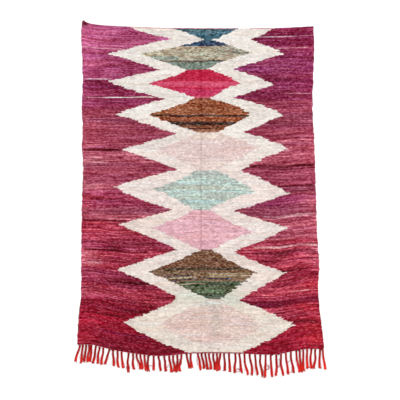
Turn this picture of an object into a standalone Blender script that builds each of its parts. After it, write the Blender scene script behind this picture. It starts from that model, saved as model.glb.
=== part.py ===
"""A flat-woven boucherouite rug, lying flat on the floor.

It has two pieces: the woven cloth, and the twined heading at its lower hem with the warp
locks that grow out of it. Metres, +Z up, +Y from the fringed hem to the plain end. The
origin is on the floor, under the middle of the cloth.
"""

import math
import random
from bisect import bisect_right
from collections import namedtuple

import bmesh
import bpy

# Driving sizes of the cloth
CLOTH_WIDTH = 1.50
CLOTH_LENGTH = 2.084
CLOTH_THICKNESS = 0.0060
RIM_THICKNESS = 0.0044
ROWS = 72
COLUMNS = 30
RIM_SHARE_ACROSS = 0.007
RIM_SHARE_UP = 0.005

# The weft turns at each side, which make the selvedge wavy
TURN_DEPTH = 0.0018
TURN_PERIOD = 0.083
TURN_DRIFT_PERIOD = 0.47

# How far up the cloth its rows follow the curve of the hem, and down it that of the plain end
HEM_REACH = 0.50
END_REACH = 0.14

# The soft crease along the middle, where the rug has been folded for storage
CREASE_SHARE = 0.513
CREASE_DEPTH = 0.0009
CREASE_HALF_WIDTH = 0.0055

# Sizes of the heading and the locks
PIECE_GAP = 0.0003
HEADING_WIDTH = 0.0080
HEADING_THICKNESS = 0.0060
LOCK_STEPS = 10
LOCK_BEND = 0.0045
LOCK_CLEARANCE = 0.0012
LENGTH_SPREAD = 0.004
LOCK_SEED = 5

HEM_Y = -CLOTH_LENGTH / 2
END_Y = CLOTH_LENGTH / 2

Station = namedtuple("Station", "along value")
Ripple = namedtuple("Ripple", "height period_x period_y phase")
LockShape = namedtuple("LockShape", "along half_width thickness")
LockGroup = namedtuple("LockGroup", "start count pitch lean tip_pitch length")

# How far each selvedge stands outside half the cloth's width, by height above the hem line
LEFT_SELVEDGE = (
    Station(0.052, 0.034),
    Station(0.142, 0.029),
    Station(0.232, 0.023),
    Station(0.335, 0.009),
    Station(0.657, 0.007),
    Station(0.979, 0.002),
    Station(1.185, -0.005),
    Station(1.346, 0.003),
    Station(1.430, -0.003),
    Station(1.558, 0.003),
    Station(1.752, -0.003),
    Station(1.932, 0.003),
    Station(2.074, 0.007),
    Station(2.131, -0.005),
)
RIGHT_SELVEDGE = (
    Station(0.026, 0.055),
    Station(0.142, 0.042),
    Station(0.283, 0.025),
    Station(0.419, 0.016),
    Station(0.547, 0.023),
    Station(0.753, 0.010),
    Station(0.979, 0.003),
    Station(1.172, -0.003),
    Station(1.365, -0.009),
    Station(1.558, -0.020),
    Station(1.752, -0.016),
    Station(1.945, -0.009),
    Station(2.099, -0.013),
)

# How far the hem and the plain end stand above their straight lines, by share of the width
HEM_CURVE = (
    Station(0.000, 0.053),
    Station(0.060, 0.054),
    Station(0.130, 0.026),
    Station(0.210, 0.002),
    Station(0.335, -0.019),
    Station(0.460, -0.003),
    Station(0.660, -0.003),
    Station(0.800, -0.010),
    Station(0.900, 0.020),
    Station(0.945, 0.028),
    Station(1.000, 0.023),
)
END_CURVE = (
    Station(0.000, 0.048),
    Station(0.020, 0.037),
    Station(0.045, 0.027),
    Station(0.100, 0.019),
    Station(0.200, 0.011),
    Station(0.330, 0.003),
    Station(0.500, 0.000),
    Station(0.700, 0.000),
    Station(0.850, 0.003),
    Station(0.930, 0.008),
    Station(1.000, 0.014),
)

# The cockling of the handwoven cloth, as long low ripples of its upper face
RIPPLES = (
    Ripple(0.00034, 0.71, 0.53, 0.4),
    Ripple(0.00026, -0.47, 0.31, 1.9),
    Ripple(0.00020, 1.90, 0.17, 3.1),
)

# A lock from its root in the heading to its loose tip, by share of its length
LOCK_SHAPE = (
    LockShape(0.00, 0.0040, 0.0060),
    LockShape(0.12, 0.0036, 0.0058),
    LockShape(0.50, 0.0042, 0.0062),
    LockShape(0.80, 0.0052, 0.0070),
    LockShape(0.93, 0.0058, 0.0066),
    LockShape(1.00, 0.0030, 0.0040),
)

# The locks in their bunches, from the hem's left end: the first root, how many and how far
# apart, how far the tips lean to the right and how far apart they lie, and the length
LOCK_GROUPS = (
    LockGroup(0.016, 1, 0.000, -0.032, 0.000, 0.112),
    LockGroup(0.035, 2, 0.021, -0.013, 0.021, 0.122),
    LockGroup(0.075, 2, 0.015, -0.008, 0.014, 0.114),
    LockGroup(0.120, 3, 0.023, -0.016, 0.028, 0.118),
    LockGroup(0.206, 1, 0.000, -0.031, 0.000, 0.100),
    LockGroup(0.230, 3, 0.027, 0.006, 0.030, 0.108),
    LockGroup(0.329, 1, 0.000, -0.005, 0.000, 0.134),
    LockGroup(0.357, 1, 0.000, 0.005, 0.000, 0.104),
    LockGroup(0.381, 2, 0.024, 0.019, 0.014, 0.104),
    LockGroup(0.431, 2, 0.024, 0.005, 0.013, 0.110),
    LockGroup(0.491, 1, 0.000, 0.000, 0.000, 0.100),
    LockGroup(0.521, 2, 0.037, 0.016, 0.032, 0.102),
    LockGroup(0.591, 4, 0.026, 0.001, 0.016, 0.112),
    LockGroup(0.703, 2, 0.026, 0.012, 0.013, 0.100),
    LockGroup(0.775, 4, 0.024, 0.018, 0.021, 0.108),
    LockGroup(0.875, 3, 0.022, 0.001, 0.014, 0.116),
    LockGroup(0.944, 2, 0.032, 0.006, 0.032, 0.120),
    LockGroup(1.016, 2, 0.026, 0.008, 0.045, 0.132),
    LockGroup(1.075, 3, 0.034, 0.018, 0.033, 0.140),
    LockGroup(1.177, 2, 0.035, 0.003, 0.021, 0.148),
    LockGroup(1.244, 2, 0.037, 0.003, 0.027, 0.145),
    LockGroup(1.310, 3, 0.032, 0.013, 0.035, 0.142),
    LockGroup(1.409, 3, 0.022, 0.010, 0.014, 0.146),
    LockGroup(1.479, 3, 0.026, -0.004, 0.023, 0.132),
    LockGroup(1.561, 1, 0.000, -0.003, 0.000, 0.130),
    LockGroup(1.580, 1, 0.000, 0.014, 0.000, 0.132),
)


def clear_scene():
    for old in list(bpy.data.objects):
        bpy.data.objects.remove(old, do_unlink=True)


def wool(name, colour):
    """A dull, rough material in one colour."""
    material = bpy.data.materials.new(name)
    material.use_nodes = True
    shader = material.node_tree.nodes["Principled BSDF"]
    shader.inputs["Base Color"].default_value = (*colour, 1.0)
    shader.inputs["Roughness"].default_value = 0.95
    shader.inputs["Metallic"].default_value = 0.0
    return material


def smooth_curve(stations):
    """The smooth curve through the stations, as a function of the place along it."""
    alongs = [station.along for station in stations]
    last = len(stations) - 1

    def slope(index):
        before = stations[max(index - 1, 0)]
        after = stations[min(index + 1, last)]
        return (after.value - before.value) / (after.along - before.along)

    def value(along):
        index = min(max(bisect_right(alongs, along) - 1, 0), last - 1)
        near, far = stations[index], stations[index + 1]
        span = far.along - near.along
        t = min(max((along - near.along) / span, 0.0), 1.0)
        rise = t * t * (3.0 - 2.0 * t)
        lead_in = t * (1.0 - t) ** 2 * span * slope(index)
        lead_out = t * t * (t - 1.0) * span * slope(index + 1)
        return near.value + (far.value - near.value) * rise + lead_in + lead_out

    return value


left_out = smooth_curve(LEFT_SELVEDGE)
right_out = smooth_curve(RIGHT_SELVEDGE)
hem_rise = smooth_curve(HEM_CURVE)
end_rise = smooth_curve(END_CURVE)


def fade(share, reach):
    """From 1 at an end of the cloth to 0 at reach, eased at both."""
    t = min(share / reach, 1.0)
    return 1.0 - t * t * (3.0 - 2.0 * t)


def turn_wave(y, side):
    """How far the weft turns push the selvedge out at this height. side is -1 or 1."""
    drift = math.sin(math.tau * y / TURN_DRIFT_PERIOD + side)
    return TURN_DEPTH * math.sin(math.tau * y / TURN_PERIOD + 2.0 * drift + side)


def cloth_place(across, up):
    """(x, y) of a point of the cloth, from its shares of the width and of the length."""
    y = HEM_Y + up * CLOTH_LENGTH
    y += hem_rise(across) * fade(up, HEM_REACH)
    y += end_rise(across) * fade(1.0 - up, END_REACH)
    height = y - HEM_Y
    left = -CLOTH_WIDTH / 2 - left_out(height) - turn_wave(y, -1)
    right = CLOTH_WIDTH / 2 + right_out(height) + turn_wave(y, 1)
    return left + (right - left) * across, y


def cloth_height(x, y, across):
    """The height of the cloth's upper face above the floor."""
    height = CLOTH_THICKNESS
    for ripple in RIPPLES:
        turn = math.tau * (x / ripple.period_x + y / ripple.period_y) + ripple.phase
        height += ripple.height * math.sin(turn)
    from_crease = (across - CREASE_SHARE) * CLOTH_WIDTH / CREASE_HALF_WIDTH
    return height - CREASE_DEPTH * math.exp(-from_crease * from_crease)


def shares(count, rim_share, extra=()):
    """Evenly spaced shares from 0 to 1, with one more line close inside each rim."""
    even = {index / count for index in range(count + 1)}
    return sorted(even | {rim_share, 1.0 - rim_share} | set(extra))


def column_shares():
    """The cloth's columns, three of which form the crease."""
    crease_step = CREASE_HALF_WIDTH * 1.6 / CLOTH_WIDTH
    crease = (CREASE_SHARE - crease_step, CREASE_SHARE, CREASE_SHARE + crease_step)
    return shares(COLUMNS, RIM_SHARE_ACROSS, crease)


def make_object(name, mesh_builder, material):
    """Turns a finished bmesh into a named object of one closed body."""
    bmesh.ops.recalc_face_normals(mesh_builder, faces=mesh_builder.faces)
    mesh = bpy.data.meshes.new(name)
    mesh_builder.to_mesh(mesh)
    mesh_builder.free()
    mesh.materials.append(material)
    made = bpy.data.objects.new(name, mesh)
    bpy.context.scene.collection.objects.link(made)
    return made


def make_cloth(material):
    """The woven cloth: an uneven sheet with a thinner rim, flat where it lies on the floor."""
    across_shares = column_shares()
    up_shares = shares(ROWS, RIM_SHARE_UP)
    builder = bmesh.new()
    bmesh.ops.create_grid(
        builder, x_segments=len(across_shares) - 1, y_segments=len(up_shares) - 1, size=0.5
    )
    for vert in builder.verts:
        across = across_shares[round((vert.co.x + 0.5) * (len(across_shares) - 1))]
        up = up_shares[round((vert.co.y + 0.5) * (len(up_shares) - 1))]
        x, y = cloth_place(across, up)
        height = RIM_THICKNESS if vert.is_boundary else cloth_height(x, y, across)
        vert.co = (x, y, height)
    rim = [edge for edge in builder.edges if edge.is_boundary]
    walls = bmesh.ops.extrude_edge_only(builder, edges=rim)["geom"]
    for item in walls:
        if isinstance(item, bmesh.types.BMVert):
            item.co.z = 0.0
    floor_rim = [edge for edge in builder.edges if edge.is_boundary]
    bmesh.ops.edgeloop_fill(builder, edges=floor_rim)
    return make_object("cloth", builder, material)


def hem_edge():
    """A function that gives the cloth's built hem, straight from column to column, at x."""
    corners = [cloth_place(across, 0.0) for across in column_shares()]
    xs = [x for x, y in corners]

    def height(x):
        index = min(max(bisect_right(xs, x) - 1, 0), len(corners) - 2)
        (x0, y0), (x1, y1) = corners[index], corners[index + 1]
        return y0 + (y1 - y0) * (x - x0) / (x1 - x0)

    return xs, height


def lock_size(along):
    """(half width, thickness) of a lock at a share of its length."""
    index = next(i for i in range(1, len(LOCK_SHAPE)) if along <= LOCK_SHAPE[i].along)
    near, far = LOCK_SHAPE[index - 1], LOCK_SHAPE[index]
    t = (along - near.along) / (far.along - near.along)
    half_width = near.half_width + (far.half_width - near.half_width) * t
    return half_width, near.thickness + (far.thickness - near.thickness) * t


def lock_steps():
    """Shares of a lock's length, closer together near its tip."""
    even = [index / (LOCK_STEPS - 2) for index in range(1, LOCK_STEPS - 2)]
    return [0.0, *even, 0.93, 1.0]


def planned_locks(hem_left):
    """Each lock as (root x, tip x, length, bend, bend phase), from left to right."""
    draw = random.Random(LOCK_SEED)
    locks = []
    for group in LOCK_GROUPS:
        middle = (group.count - 1) / 2
        centre = hem_left + group.start + group.pitch * middle
        for index in range(group.count):
            root = centre + (index - middle) * group.pitch
            tip = centre + group.lean + (index - middle) * group.tip_pitch
            length = group.length + draw.uniform(-LENGTH_SPREAD, LENGTH_SPREAD)
            bend = LOCK_BEND * draw.uniform(-1.0, 1.0)
            locks.append((root, tip, length, bend, draw.uniform(0.0, math.pi)))
    return locks


def kept_apart(places, widths):
    """The same places, from left to right, moved so that neighbours of these half widths clear."""
    moved = list(places)
    for _ in range(40):
        for index in range(len(moved) - 1):
            room = widths[index] + widths[index + 1] + LOCK_CLEARANCE
            short = room - (moved[index + 1] - moved[index])
            if short > 0.0:
                moved[index] -= short / 2
                moved[index + 1] += short / 2
    return moved


def lock_paths(hem_left, hem_height):
    """The centre line of each lock as a list of (x, y), none touching its neighbours."""
    locks = planned_locks(hem_left)
    paths = [[] for _ in locks]
    for along in lock_steps():
        ease = along * along * (3.0 - 2.0 * along)
        xs = []
        for root, tip, _, bend, phase in locks:
            sway = bend * math.sin(along * math.tau + phase) * min(3.0 * along, 1.0)
            xs.append(root + (tip - root) * ease + sway)
        half_width = lock_size(along)[0]
        if along > 0.0:
            xs = kept_apart(xs, [half_width * 1.12] * len(xs))
        for path, lock, x in zip(paths, locks, xs):
            root, length = lock[0], lock[2]
            path.append((x, hem_height(root) - PIECE_GAP - HEADING_WIDTH - along * length))
    return paths


def lock_rings(path):
    """The four-cornered sections of a lock, from root to tip, lying level on the floor."""
    rings = []
    for index, (x, y) in enumerate(path):
        before, after = path[max(index - 1, 0)], path[min(index + 1, len(path) - 1)]
        half_width, thickness = lock_size(lock_steps()[index])
        run_x, run_y = after[0] - before[0], after[1] - before[1]
        run = math.hypot(run_x, run_y)
        side_x, side_y = -run_y / run * half_width, run_x / run * half_width
        top = 0.72
        rings.append(
            (
                (x - side_x, y - side_y, 0.0),
                (x - side_x * top, y - side_y * top, thickness),
                (x + side_x * top, y + side_y * top, thickness),
                (x + side_x, y + side_y, 0.0),
            )
        )
    return rings


def heading_section(builder, x, hem_height):
    """The heading's section at x: back foot, back top, front top and front foot."""
    back = hem_height(x) - PIECE_GAP
    front = back - HEADING_WIDTH
    corners = (
        (x, back, 0.0),
        (x, back, HEADING_THICKNESS),
        (x, front, HEADING_THICKNESS),
        (x, front, 0.0),
    )
    return [builder.verts.new(corner) for corner in corners]


def grow_lock(builder, near, far, path):
    """Grows a lock out of the heading's front face between two of its sections."""
    ring = [near[3], near[2], far[2], far[3]]
    for corners in lock_rings(path)[1:]:
        following = [builder.verts.new(corner) for corner in corners]
        for index in range(4):
            after = (index + 1) % 4
            builder.faces.new((ring[index], ring[after], following[after], following[index]))
        ring = following
    builder.faces.new(ring)


def make_fringe(material):
    """The twined heading along the hem, with every warp lock grown out of its front."""
    column_xs, hem_height = hem_edge()
    paths = lock_paths(column_xs[0], hem_height)
    root_half = lock_size(0.0)[0]
    roots = {round(path[0][0] - root_half, 6): path for path in paths}
    xs = set(roots) | {round(path[0][0] + root_half, 6) for path in paths}
    inside = [
        round(x, 6)
        for x in column_xs
        if all(abs(x - path[0][0]) > root_half * 1.2 for path in paths)
    ]
    xs = sorted(xs | set(inside) | {round(column_xs[0], 6), round(column_xs[-1], 6)})
    builder = bmesh.new()
    sections = [heading_section(builder, x, hem_height) for x in xs]
    builder.faces.new(sections[0])
    builder.faces.new(list(reversed(sections[-1])))
    for x, near, far in zip(xs, sections, sections[1:]):
        for a, b in ((0, 1), (1, 2), (3, 0)):
            builder.faces.new((near[a], near[b], far[b], far[a]))
        if x in roots:
            grow_lock(builder, near, far, roots[x])
        else:
            builder.faces.new((near[2], near[3], far[3], far[2]))
    return make_object("fringe", builder, material)


def main():
    clear_scene()
    make_cloth(wool("field_wool", (0.36, 0.035, 0.115)))
    make_fringe(wool("warp_wool", (0.55, 0.020, 0.018)))


main()
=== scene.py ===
# %% [markdown]
# A boucherouite is a flat-woven rug whose weft is made of wool and twisted rags. This one
# lies on the floor: about 1.5 m wide and 2.1 m long, with a column of serrated diamonds in a
# cream zigzag on a streaky red field, and warp locks along its lower hem. The looks are
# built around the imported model, the frame, which gives every size and place. It is loaded
# first and never moved. Everything is deselected, because an operator works on all that is
# selected.

# %% The frame
import math
import random
from collections import namedtuple
from functools import lru_cache

import bpy
import numpy as np
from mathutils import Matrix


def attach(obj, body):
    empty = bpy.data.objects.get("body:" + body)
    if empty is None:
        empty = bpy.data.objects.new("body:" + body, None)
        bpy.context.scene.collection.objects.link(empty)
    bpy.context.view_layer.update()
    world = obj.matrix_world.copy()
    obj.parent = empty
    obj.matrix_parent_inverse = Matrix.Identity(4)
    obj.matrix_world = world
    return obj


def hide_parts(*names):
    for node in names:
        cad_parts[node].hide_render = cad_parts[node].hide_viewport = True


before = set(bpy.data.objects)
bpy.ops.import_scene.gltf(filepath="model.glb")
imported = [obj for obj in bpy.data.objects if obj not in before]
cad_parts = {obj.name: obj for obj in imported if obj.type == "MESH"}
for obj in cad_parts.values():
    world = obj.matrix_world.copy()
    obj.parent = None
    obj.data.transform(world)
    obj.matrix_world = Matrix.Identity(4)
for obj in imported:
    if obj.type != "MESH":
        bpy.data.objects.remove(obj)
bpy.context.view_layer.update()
bpy.ops.object.select_all(action="DESELECT")
BODY = "root"

# %% [markdown]
# A rug is photographed from straight above, so that it shows without any slant. A camera
# with a long lens stands high over the middle, and two numbers settle its framing: how high
# it stands, and how wide a stretch of floor fills the picture. The view transform is set to
# Standard, because the default one is made for bright scenes and would dull the dyes.

# %% The camera
VIEW_HEIGHT = 7.5
VIEW_WIDTH = 2.576
VIEW_CENTRE = (0.00644, -0.0630)
SENSOR_WIDTH = 36.0

bpy.ops.object.camera_add(location=(*VIEW_CENTRE, VIEW_HEIGHT), rotation=(0.0, 0.0, 0.0))
camera = bpy.context.object
camera.name = "camera"
camera.data.sensor_width = SENSOR_WIDTH
camera.data.lens = SENSOR_WIDTH * VIEW_HEIGHT / VIEW_WIDTH
bpy.context.scene.camera = camera
bpy.context.scene.view_settings.view_transform = "Standard"
print("lens", round(camera.data.lens, 1), "mm")

# %% [markdown]
# The light is a studio's: a large soft panel high on the upper right, a weaker one opposite
# to it, and an even white surround. Soft light keeps the colours true, while the panel's
# slant gives each yarn a lit side and a shaded one. A sheet of white paper under the rug is
# the stage, which isn't part of the object.

# %% The floor and the lights
FLOOR_SIZE = 12.0
FLOOR_DROP = 0.0002
PAPER_TONE = 0.96
PAPER_ROUGHNESS = 0.9
PAPER_SHINE = 0.1
SURROUND_STRENGTH = 0.935
PANEL_SIZE = 2.6
Panel = namedtuple("Panel", "name place watts")
PANELS = (
    Panel("key_panel", (1.9, 1.8, 4.2), 96.0),
    Panel("fill_panel", (-2.3, -1.7, 4.2), 34.0),
)

bpy.ops.mesh.primitive_plane_add(size=FLOOR_SIZE, location=(0.0, 0.0, -FLOOR_DROP))
floor = bpy.context.object
floor.name = "floor"
paper = bpy.data.materials.new("paper")
paper.use_nodes = True
paper_shader = paper.node_tree.nodes["Principled BSDF"]
paper_shader.inputs["Base Color"].default_value = (PAPER_TONE, PAPER_TONE, PAPER_TONE, 1.0)
paper_shader.inputs["Roughness"].default_value = PAPER_ROUGHNESS
paper_shader.inputs["Specular IOR Level"].default_value = PAPER_SHINE
floor.data.materials.append(paper)


def add_panel(panel):
    """A square soft light at the panel's place, facing the middle of the rug."""
    x, y, z = panel.place
    toward = math.atan2(math.hypot(x, y), z)
    around = math.atan2(y, x) + math.pi / 2
    bpy.ops.object.light_add(type="AREA", location=panel.place, rotation=(toward, 0.0, around))
    light = bpy.context.object
    light.name = panel.name
    light.data.size = PANEL_SIZE
    light.data.energy = panel.watts


for panel in PANELS:
    add_panel(panel)
surround = bpy.data.worlds.new("surround")
surround.use_nodes = True
background = surround.node_tree.nodes["Background"]
background.inputs["Color"].default_value = (1.0, 1.0, 1.0, 1.0)
background.inputs["Strength"].default_value = SURROUND_STRENGTH
bpy.context.scene.world = surround
print("stage and lights in place")

# %% [markdown]
# The woven pieces have to fill the outline that the frame's cloth has, with its wavy
# selvedges and its crooked hem. The outline is read from the frame instead of being
# repeated: the corners of the cloth that lie on the floor are its rim. Sorted by their angle
# round the middle they form a loop, and the loop's four corners split it into the hem, the
# two selvedges and the plain end.

# %% The outline of the cloth
CLOTH_WIDTH = 1.50
CLOTH_LENGTH = 2.084
HEM_Y = -CLOTH_LENGTH / 2
END_Y = CLOTH_LENGTH / 2
ON_FLOOR = 1e-5
PLACE_DIGITS = 5


def mesh_points(node):
    """The corners of a CAD node's mesh, as an array with a row for each."""
    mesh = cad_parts[node].data
    points = np.empty(len(mesh.vertices) * 3)
    mesh.vertices.foreach_get("co", points)
    return points.reshape(-1, 3)


cloth_points = mesh_points("cloth")
on_floor = cloth_points[cloth_points[:, 2] < ON_FLOOR, :2]
rim = np.unique(np.round(on_floor, PLACE_DIGITS), axis=0)
rim = rim[np.argsort(np.arctan2(rim[:, 1], rim[:, 0]))]
rim = np.roll(rim, -np.argmax(-rim[:, 0] - rim[:, 1]), axis=0)
lower_right = np.argmax(rim[:, 0] - rim[:, 1])
upper_right = np.argmax(rim[:, 0] + rim[:, 1])
upper_left = np.argmax(rim[:, 1] - rim[:, 0])
hem_line = rim[: lower_right + 1]
right_line = rim[lower_right : upper_right + 1]
end_line = rim[upper_right : upper_left + 1][::-1]
left_line = np.vstack([rim[upper_left:], rim[:1]])[::-1]


def hem_y(x):
    return np.interp(x, hem_line[:, 0], hem_line[:, 1])


def end_y(x):
    return np.interp(x, end_line[:, 0], end_line[:, 1])


def left_x(y):
    return np.interp(y, left_line[:, 1], left_line[:, 0])


def right_x(y):
    return np.interp(y, right_line[:, 1], right_line[:, 0])


print("rim points", len(rim), "hem", len(hem_line), "selvedges", len(left_line), len(right_line))

# %% [markdown]
# The weft rows aren't straight. Near the hem they follow its curve, where the weaver's beat
# was uneven, and further up they level out, later on the right than on the left. So a row is
# known by its share of the length, from 0 at the hem to 1 at the plain end, and a function
# gives its real place at any x. In between, two shallow waves let it wander. Rows differ in
# thickness, as handspun yarn and torn rags do. The cloth also cockles, and keeps a soft
# crease down the middle from being folded for storage.

# %% The rows and the lie of the cloth
ROW_COUNT = 353
ROW_SPREAD = 0.13
HEM_REACH_XS = (0.0, 0.4)
HEM_REACHES = (0.50, 0.90)
END_REACH = 0.14
WANDER_FROM = 0.10
CREASE_X = 0.0135
CREASE_DEPTH = 0.0009
CREASE_HALF_WIDTH = 0.0055
CREASE_LOW_Y = -0.60
CREASE_FADE = 0.25
CREASE_LEAST = 0.3
MID_HEIGHT = 0.0036

Wander = namedtuple("Wander", "reach period_x turns_up phase")
WANDERS = (
    Wander(0.0017, 0.37, 5.3, 0.8),
    Wander(0.0012, -0.23, 8.1, 2.6),
)
Ripple = namedtuple("Ripple", "height period_x period_y phase")
RIPPLES = (
    Ripple(0.00034, 0.71, 0.53, 0.4),
    Ripple(0.00026, -0.47, 0.31, 1.9),
    Ripple(0.00020, 1.90, 0.17, 3.1),
)


def ease(t):
    """From 0 to 1 as t does, but slowly at both ends."""
    return t * t * (3.0 - 2.0 * t)


def fade(share):
    """From 1 at share 0 to 0 at share 1 and beyond, eased at both."""
    return 1.0 - ease(np.clip(share, 0.0, 1.0))


def row_y(up, x):
    """The height of a row on the floor plan, at x."""
    hem_reach = np.interp(x, HEM_REACH_XS, HEM_REACHES)
    hem_part = (hem_y(x) - HEM_Y) * fade(up / hem_reach)
    end_part = (end_y(x) - END_Y) * fade((1.0 - up) / END_REACH)
    free = 1.0 - fade(up / WANDER_FROM) - fade((1.0 - up) / WANDER_FROM)
    wandering = 0.0
    for wander in WANDERS:
        turn = math.tau * (x / wander.period_x + wander.turns_up * up) + wander.phase
        wandering = wandering + wander.reach * np.sin(turn)
    return HEM_Y + up * CLOTH_LENGTH + hem_part + end_part + free * wandering


def crease(x, y):
    """How fully the crease shows, from 0 beside it to 1 in its middle, less near the hem."""
    kept = np.clip((y - CREASE_LOW_Y) / CREASE_FADE, CREASE_LEAST, 1.0)
    return kept * np.exp(-(((x - CREASE_X) / CREASE_HALF_WIDTH) ** 2))


def middle_height(x, y):
    """How high the middle of the cloth's thickness lies above the floor."""
    height = MID_HEIGHT - CREASE_DEPTH * crease(x, y)
    for ripple in RIPPLES:
        turn = math.tau * (x / ripple.period_x + y / ripple.period_y) + ripple.phase
        height = height + ripple.height * np.sin(turn)
    return height


row_draw = np.random.default_rng(11)
row_sizes = 1.0 + ROW_SPREAD * row_draw.uniform(-1.0, 1.0, ROW_COUNT)
row_edges = np.concatenate([[0.0], np.cumsum(row_sizes) / row_sizes.sum()])
row_middles = (row_edges[:-1] + row_edges[1:]) / 2
print("rows", ROW_COUNT, "of about", round(CLOTH_LENGTH / ROW_COUNT * 1000, 2), "mm")

# %% [markdown]
# The warp ground is what the weft is beaten onto: a thin sheet of dark red warp, with painted
# shade on it, that shows only between rows. It could be left out, but it closes the rug, so
# that no light comes through from below. A grid primitive is added, each of its points is
# put where its row and column lie, with five of the columns close together so that they
# follow the crease, and a Solidify modifier gives it the warp's thickness and is then applied.

# %% The warp ground
GROUND_COLUMNS = 48
GROUND_ROWS = 72
GROUND_THICKNESS = 0.0004
GROUND_INSET = 0.0030
CREASE_COLUMNS = np.array([-2.0, -1.0, 0.0, 1.0, 2.0]) * CREASE_HALF_WIDTH + CREASE_X


def apply_modifiers(piece):
    """Applies every modifier of a piece, from the top down."""
    bpy.ops.object.select_all(action="DESELECT")
    piece.select_set(True)
    bpy.context.view_layer.objects.active = piece
    for modifier in list(piece.modifiers):
        bpy.ops.object.modifier_apply(modifier=modifier.name)


bpy.ops.mesh.primitive_grid_add(
    x_subdivisions=GROUND_COLUMNS, y_subdivisions=GROUND_ROWS, size=1.0, location=(0, 0, 0)
)
ground = bpy.context.object
ground.name = "warp_ground"
even_columns = GROUND_COLUMNS + 1 - len(CREASE_COLUMNS)
for vert in ground.data.vertices:
    column = round((vert.co.x + 0.5) * GROUND_COLUMNS)
    up = vert.co.y + 0.5
    y = HEM_Y + up * CLOTH_LENGTH
    even = np.linspace(left_x(y) + GROUND_INSET, right_x(y) - GROUND_INSET, even_columns)
    x = np.sort(np.concatenate([even, CREASE_COLUMNS]))[column]
    inner_up = GROUND_INSET / CLOTH_LENGTH + up * (1.0 - 2.0 * GROUND_INSET / CLOTH_LENGTH)
    y = float(row_y(inner_up, x))
    vert.co = (float(x), y, float(middle_height(x, y)))
thickness = ground.modifiers.new("warp thickness", "SOLIDIFY")
thickness.thickness = GROUND_THICKNESS
thickness.offset = 0.0
apply_modifiers(ground)
print("warp ground", len(ground.data.polygons), "faces")

# %% [markdown]
# The dyes. The field is spun from reds that run from pale rose to oxblood, the zigzag is
# undyed cream, and each diamond has a colour of its own. A palette names them once, in the
# everyday red, green and blue of a screen, so that the tables further down read as a weaver's
# notes. Blender counts light in linear values, so each colour is converted. The last column
# says how strongly a dye is heathered, which is how far its wool was mixed before spinning.
# The palette says how the dyes look under these bright lights, so the wool itself is a
# little darker, by the gain.

# %% The dyes
DYE_GAIN = 0.877
SCREEN_STEPS = 255.0
SCREEN_FOOT = 0.04045
SCREEN_SLOPE = 12.92
SCREEN_OFFSET = 0.055
SCREEN_POWER = 2.4

Dye = namedtuple("Dye", "red green blue heather")
DYES = {
    "orchid": Dye(192, 91, 134, 0.10),
    "magenta": Dye(175, 75, 116, 0.11),
    "plum": Dye(133, 33, 73, 0.13),
    "berry": Dye(156, 55, 94, 0.11),
    "damson": Dye(143, 45, 84, 0.13),
    "violet": Dye(152, 58, 104, 0.13),
    "rose": Dye(164, 68, 92, 0.11),
    "mulberry": Dye(150, 63, 86, 0.11),
    "dusty_rose": Dye(184, 86, 107, 0.13),
    "pale_rose": Dye(216, 160, 170, 0.12),
    "cherry": Dye(180, 61, 85, 0.16),
    "ruby": Dye(168, 51, 75, 0.17),
    "raspberry": Dye(157, 51, 80, 0.16),
    "scarlet": Dye(186, 44, 59, 0.12),
    "garnet": Dye(156, 22, 48, 0.13),
    "wine": Dye(143, 22, 48, 0.13),
    "oxblood": Dye(90, 3, 18, 0.08),
    "port": Dye(122, 20, 50, 0.10),
    "purple": Dye(118, 16, 56, 0.10),
    "ivory": Dye(238, 232, 225, 0.03),
    "blush": Dye(238, 226, 220, 0.04),
    "ecru": Dye(237, 226, 215, 0.04),
    "shell": Dye(235, 218, 208, 0.05),
    "celadon": Dye(212, 219, 205, 0.05),
    "powder": Dye(231, 211, 203, 0.05),
    "petal": Dye(231, 210, 206, 0.04),
    "blossom": Dye(226, 190, 188, 0.07),
    "candy": Dye(231, 184, 194, 0.06),
    "moss": Dye(108, 136, 106, 0.12),
    "forest": Dye(80, 90, 68, 0.15),
    "pine": Dye(44, 60, 48, 0.10),
    "tan": Dye(130, 99, 75, 0.12),
    "brown": Dye(124, 86, 64, 0.12),
    "sand": Dye(186, 166, 134, 0.12),
    "mint": Dye(193, 206, 197, 0.09),
    "sea": Dye(150, 184, 180, 0.10),
    "ash": Dye(187, 194, 186, 0.08),
    "slate": Dye(90, 84, 78, 0.12),
    "rust": Dye(151, 86, 56, 0.13),
    "soot": Dye(60, 46, 39, 0.18),
    "black": Dye(34, 28, 28, 0.10),
    "crimson": Dye(194, 38, 74, 0.06),
    "pink": Dye(211, 80, 111, 0.06),
    "fuchsia": Dye(204, 62, 106, 0.06),
    "sage": Dye(126, 142, 132, 0.11),
    "olive_beige": Dye(182, 172, 150, 0.13),
    "turquoise": Dye(114, 162, 164, 0.10),
    "navy": Dye(38, 68, 98, 0.12),
    "deep_teal": Dye(60, 96, 111, 0.10),
    "teal": Dye(73, 107, 121, 0.12),
    "root_red": Dye(146, 22, 24, 0.14),
    "tip_red": Dye(208, 40, 32, 0.10),
    "coral": Dye(194, 80, 98, 0.10),
}


def linear(dye_name):
    """A dye as three linear values, by the curve that screens follow."""
    screen = np.array(DYES[dye_name][:3]) / SCREEN_STEPS
    curve = ((screen + SCREEN_OFFSET) / (1.0 + SCREEN_OFFSET)) ** SCREEN_POWER
    return np.where(screen <= SCREEN_FOOT, screen / SCREEN_SLOPE, curve)


print("dyes", len(DYES), "and ivory in linear values", np.round(linear("ivory"), 3))

# %% [markdown]
# The pattern's edges. Each side of the cream zigzag, and each side of the diamonds, runs
# from turn to turn. A turn has its height above the hem line and its place across, and a
# number for how far the run up to the next turn bows out to the right, because the weaver
# stepped over by eye. The diamonds stay as irregular as they are on the rug.

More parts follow.
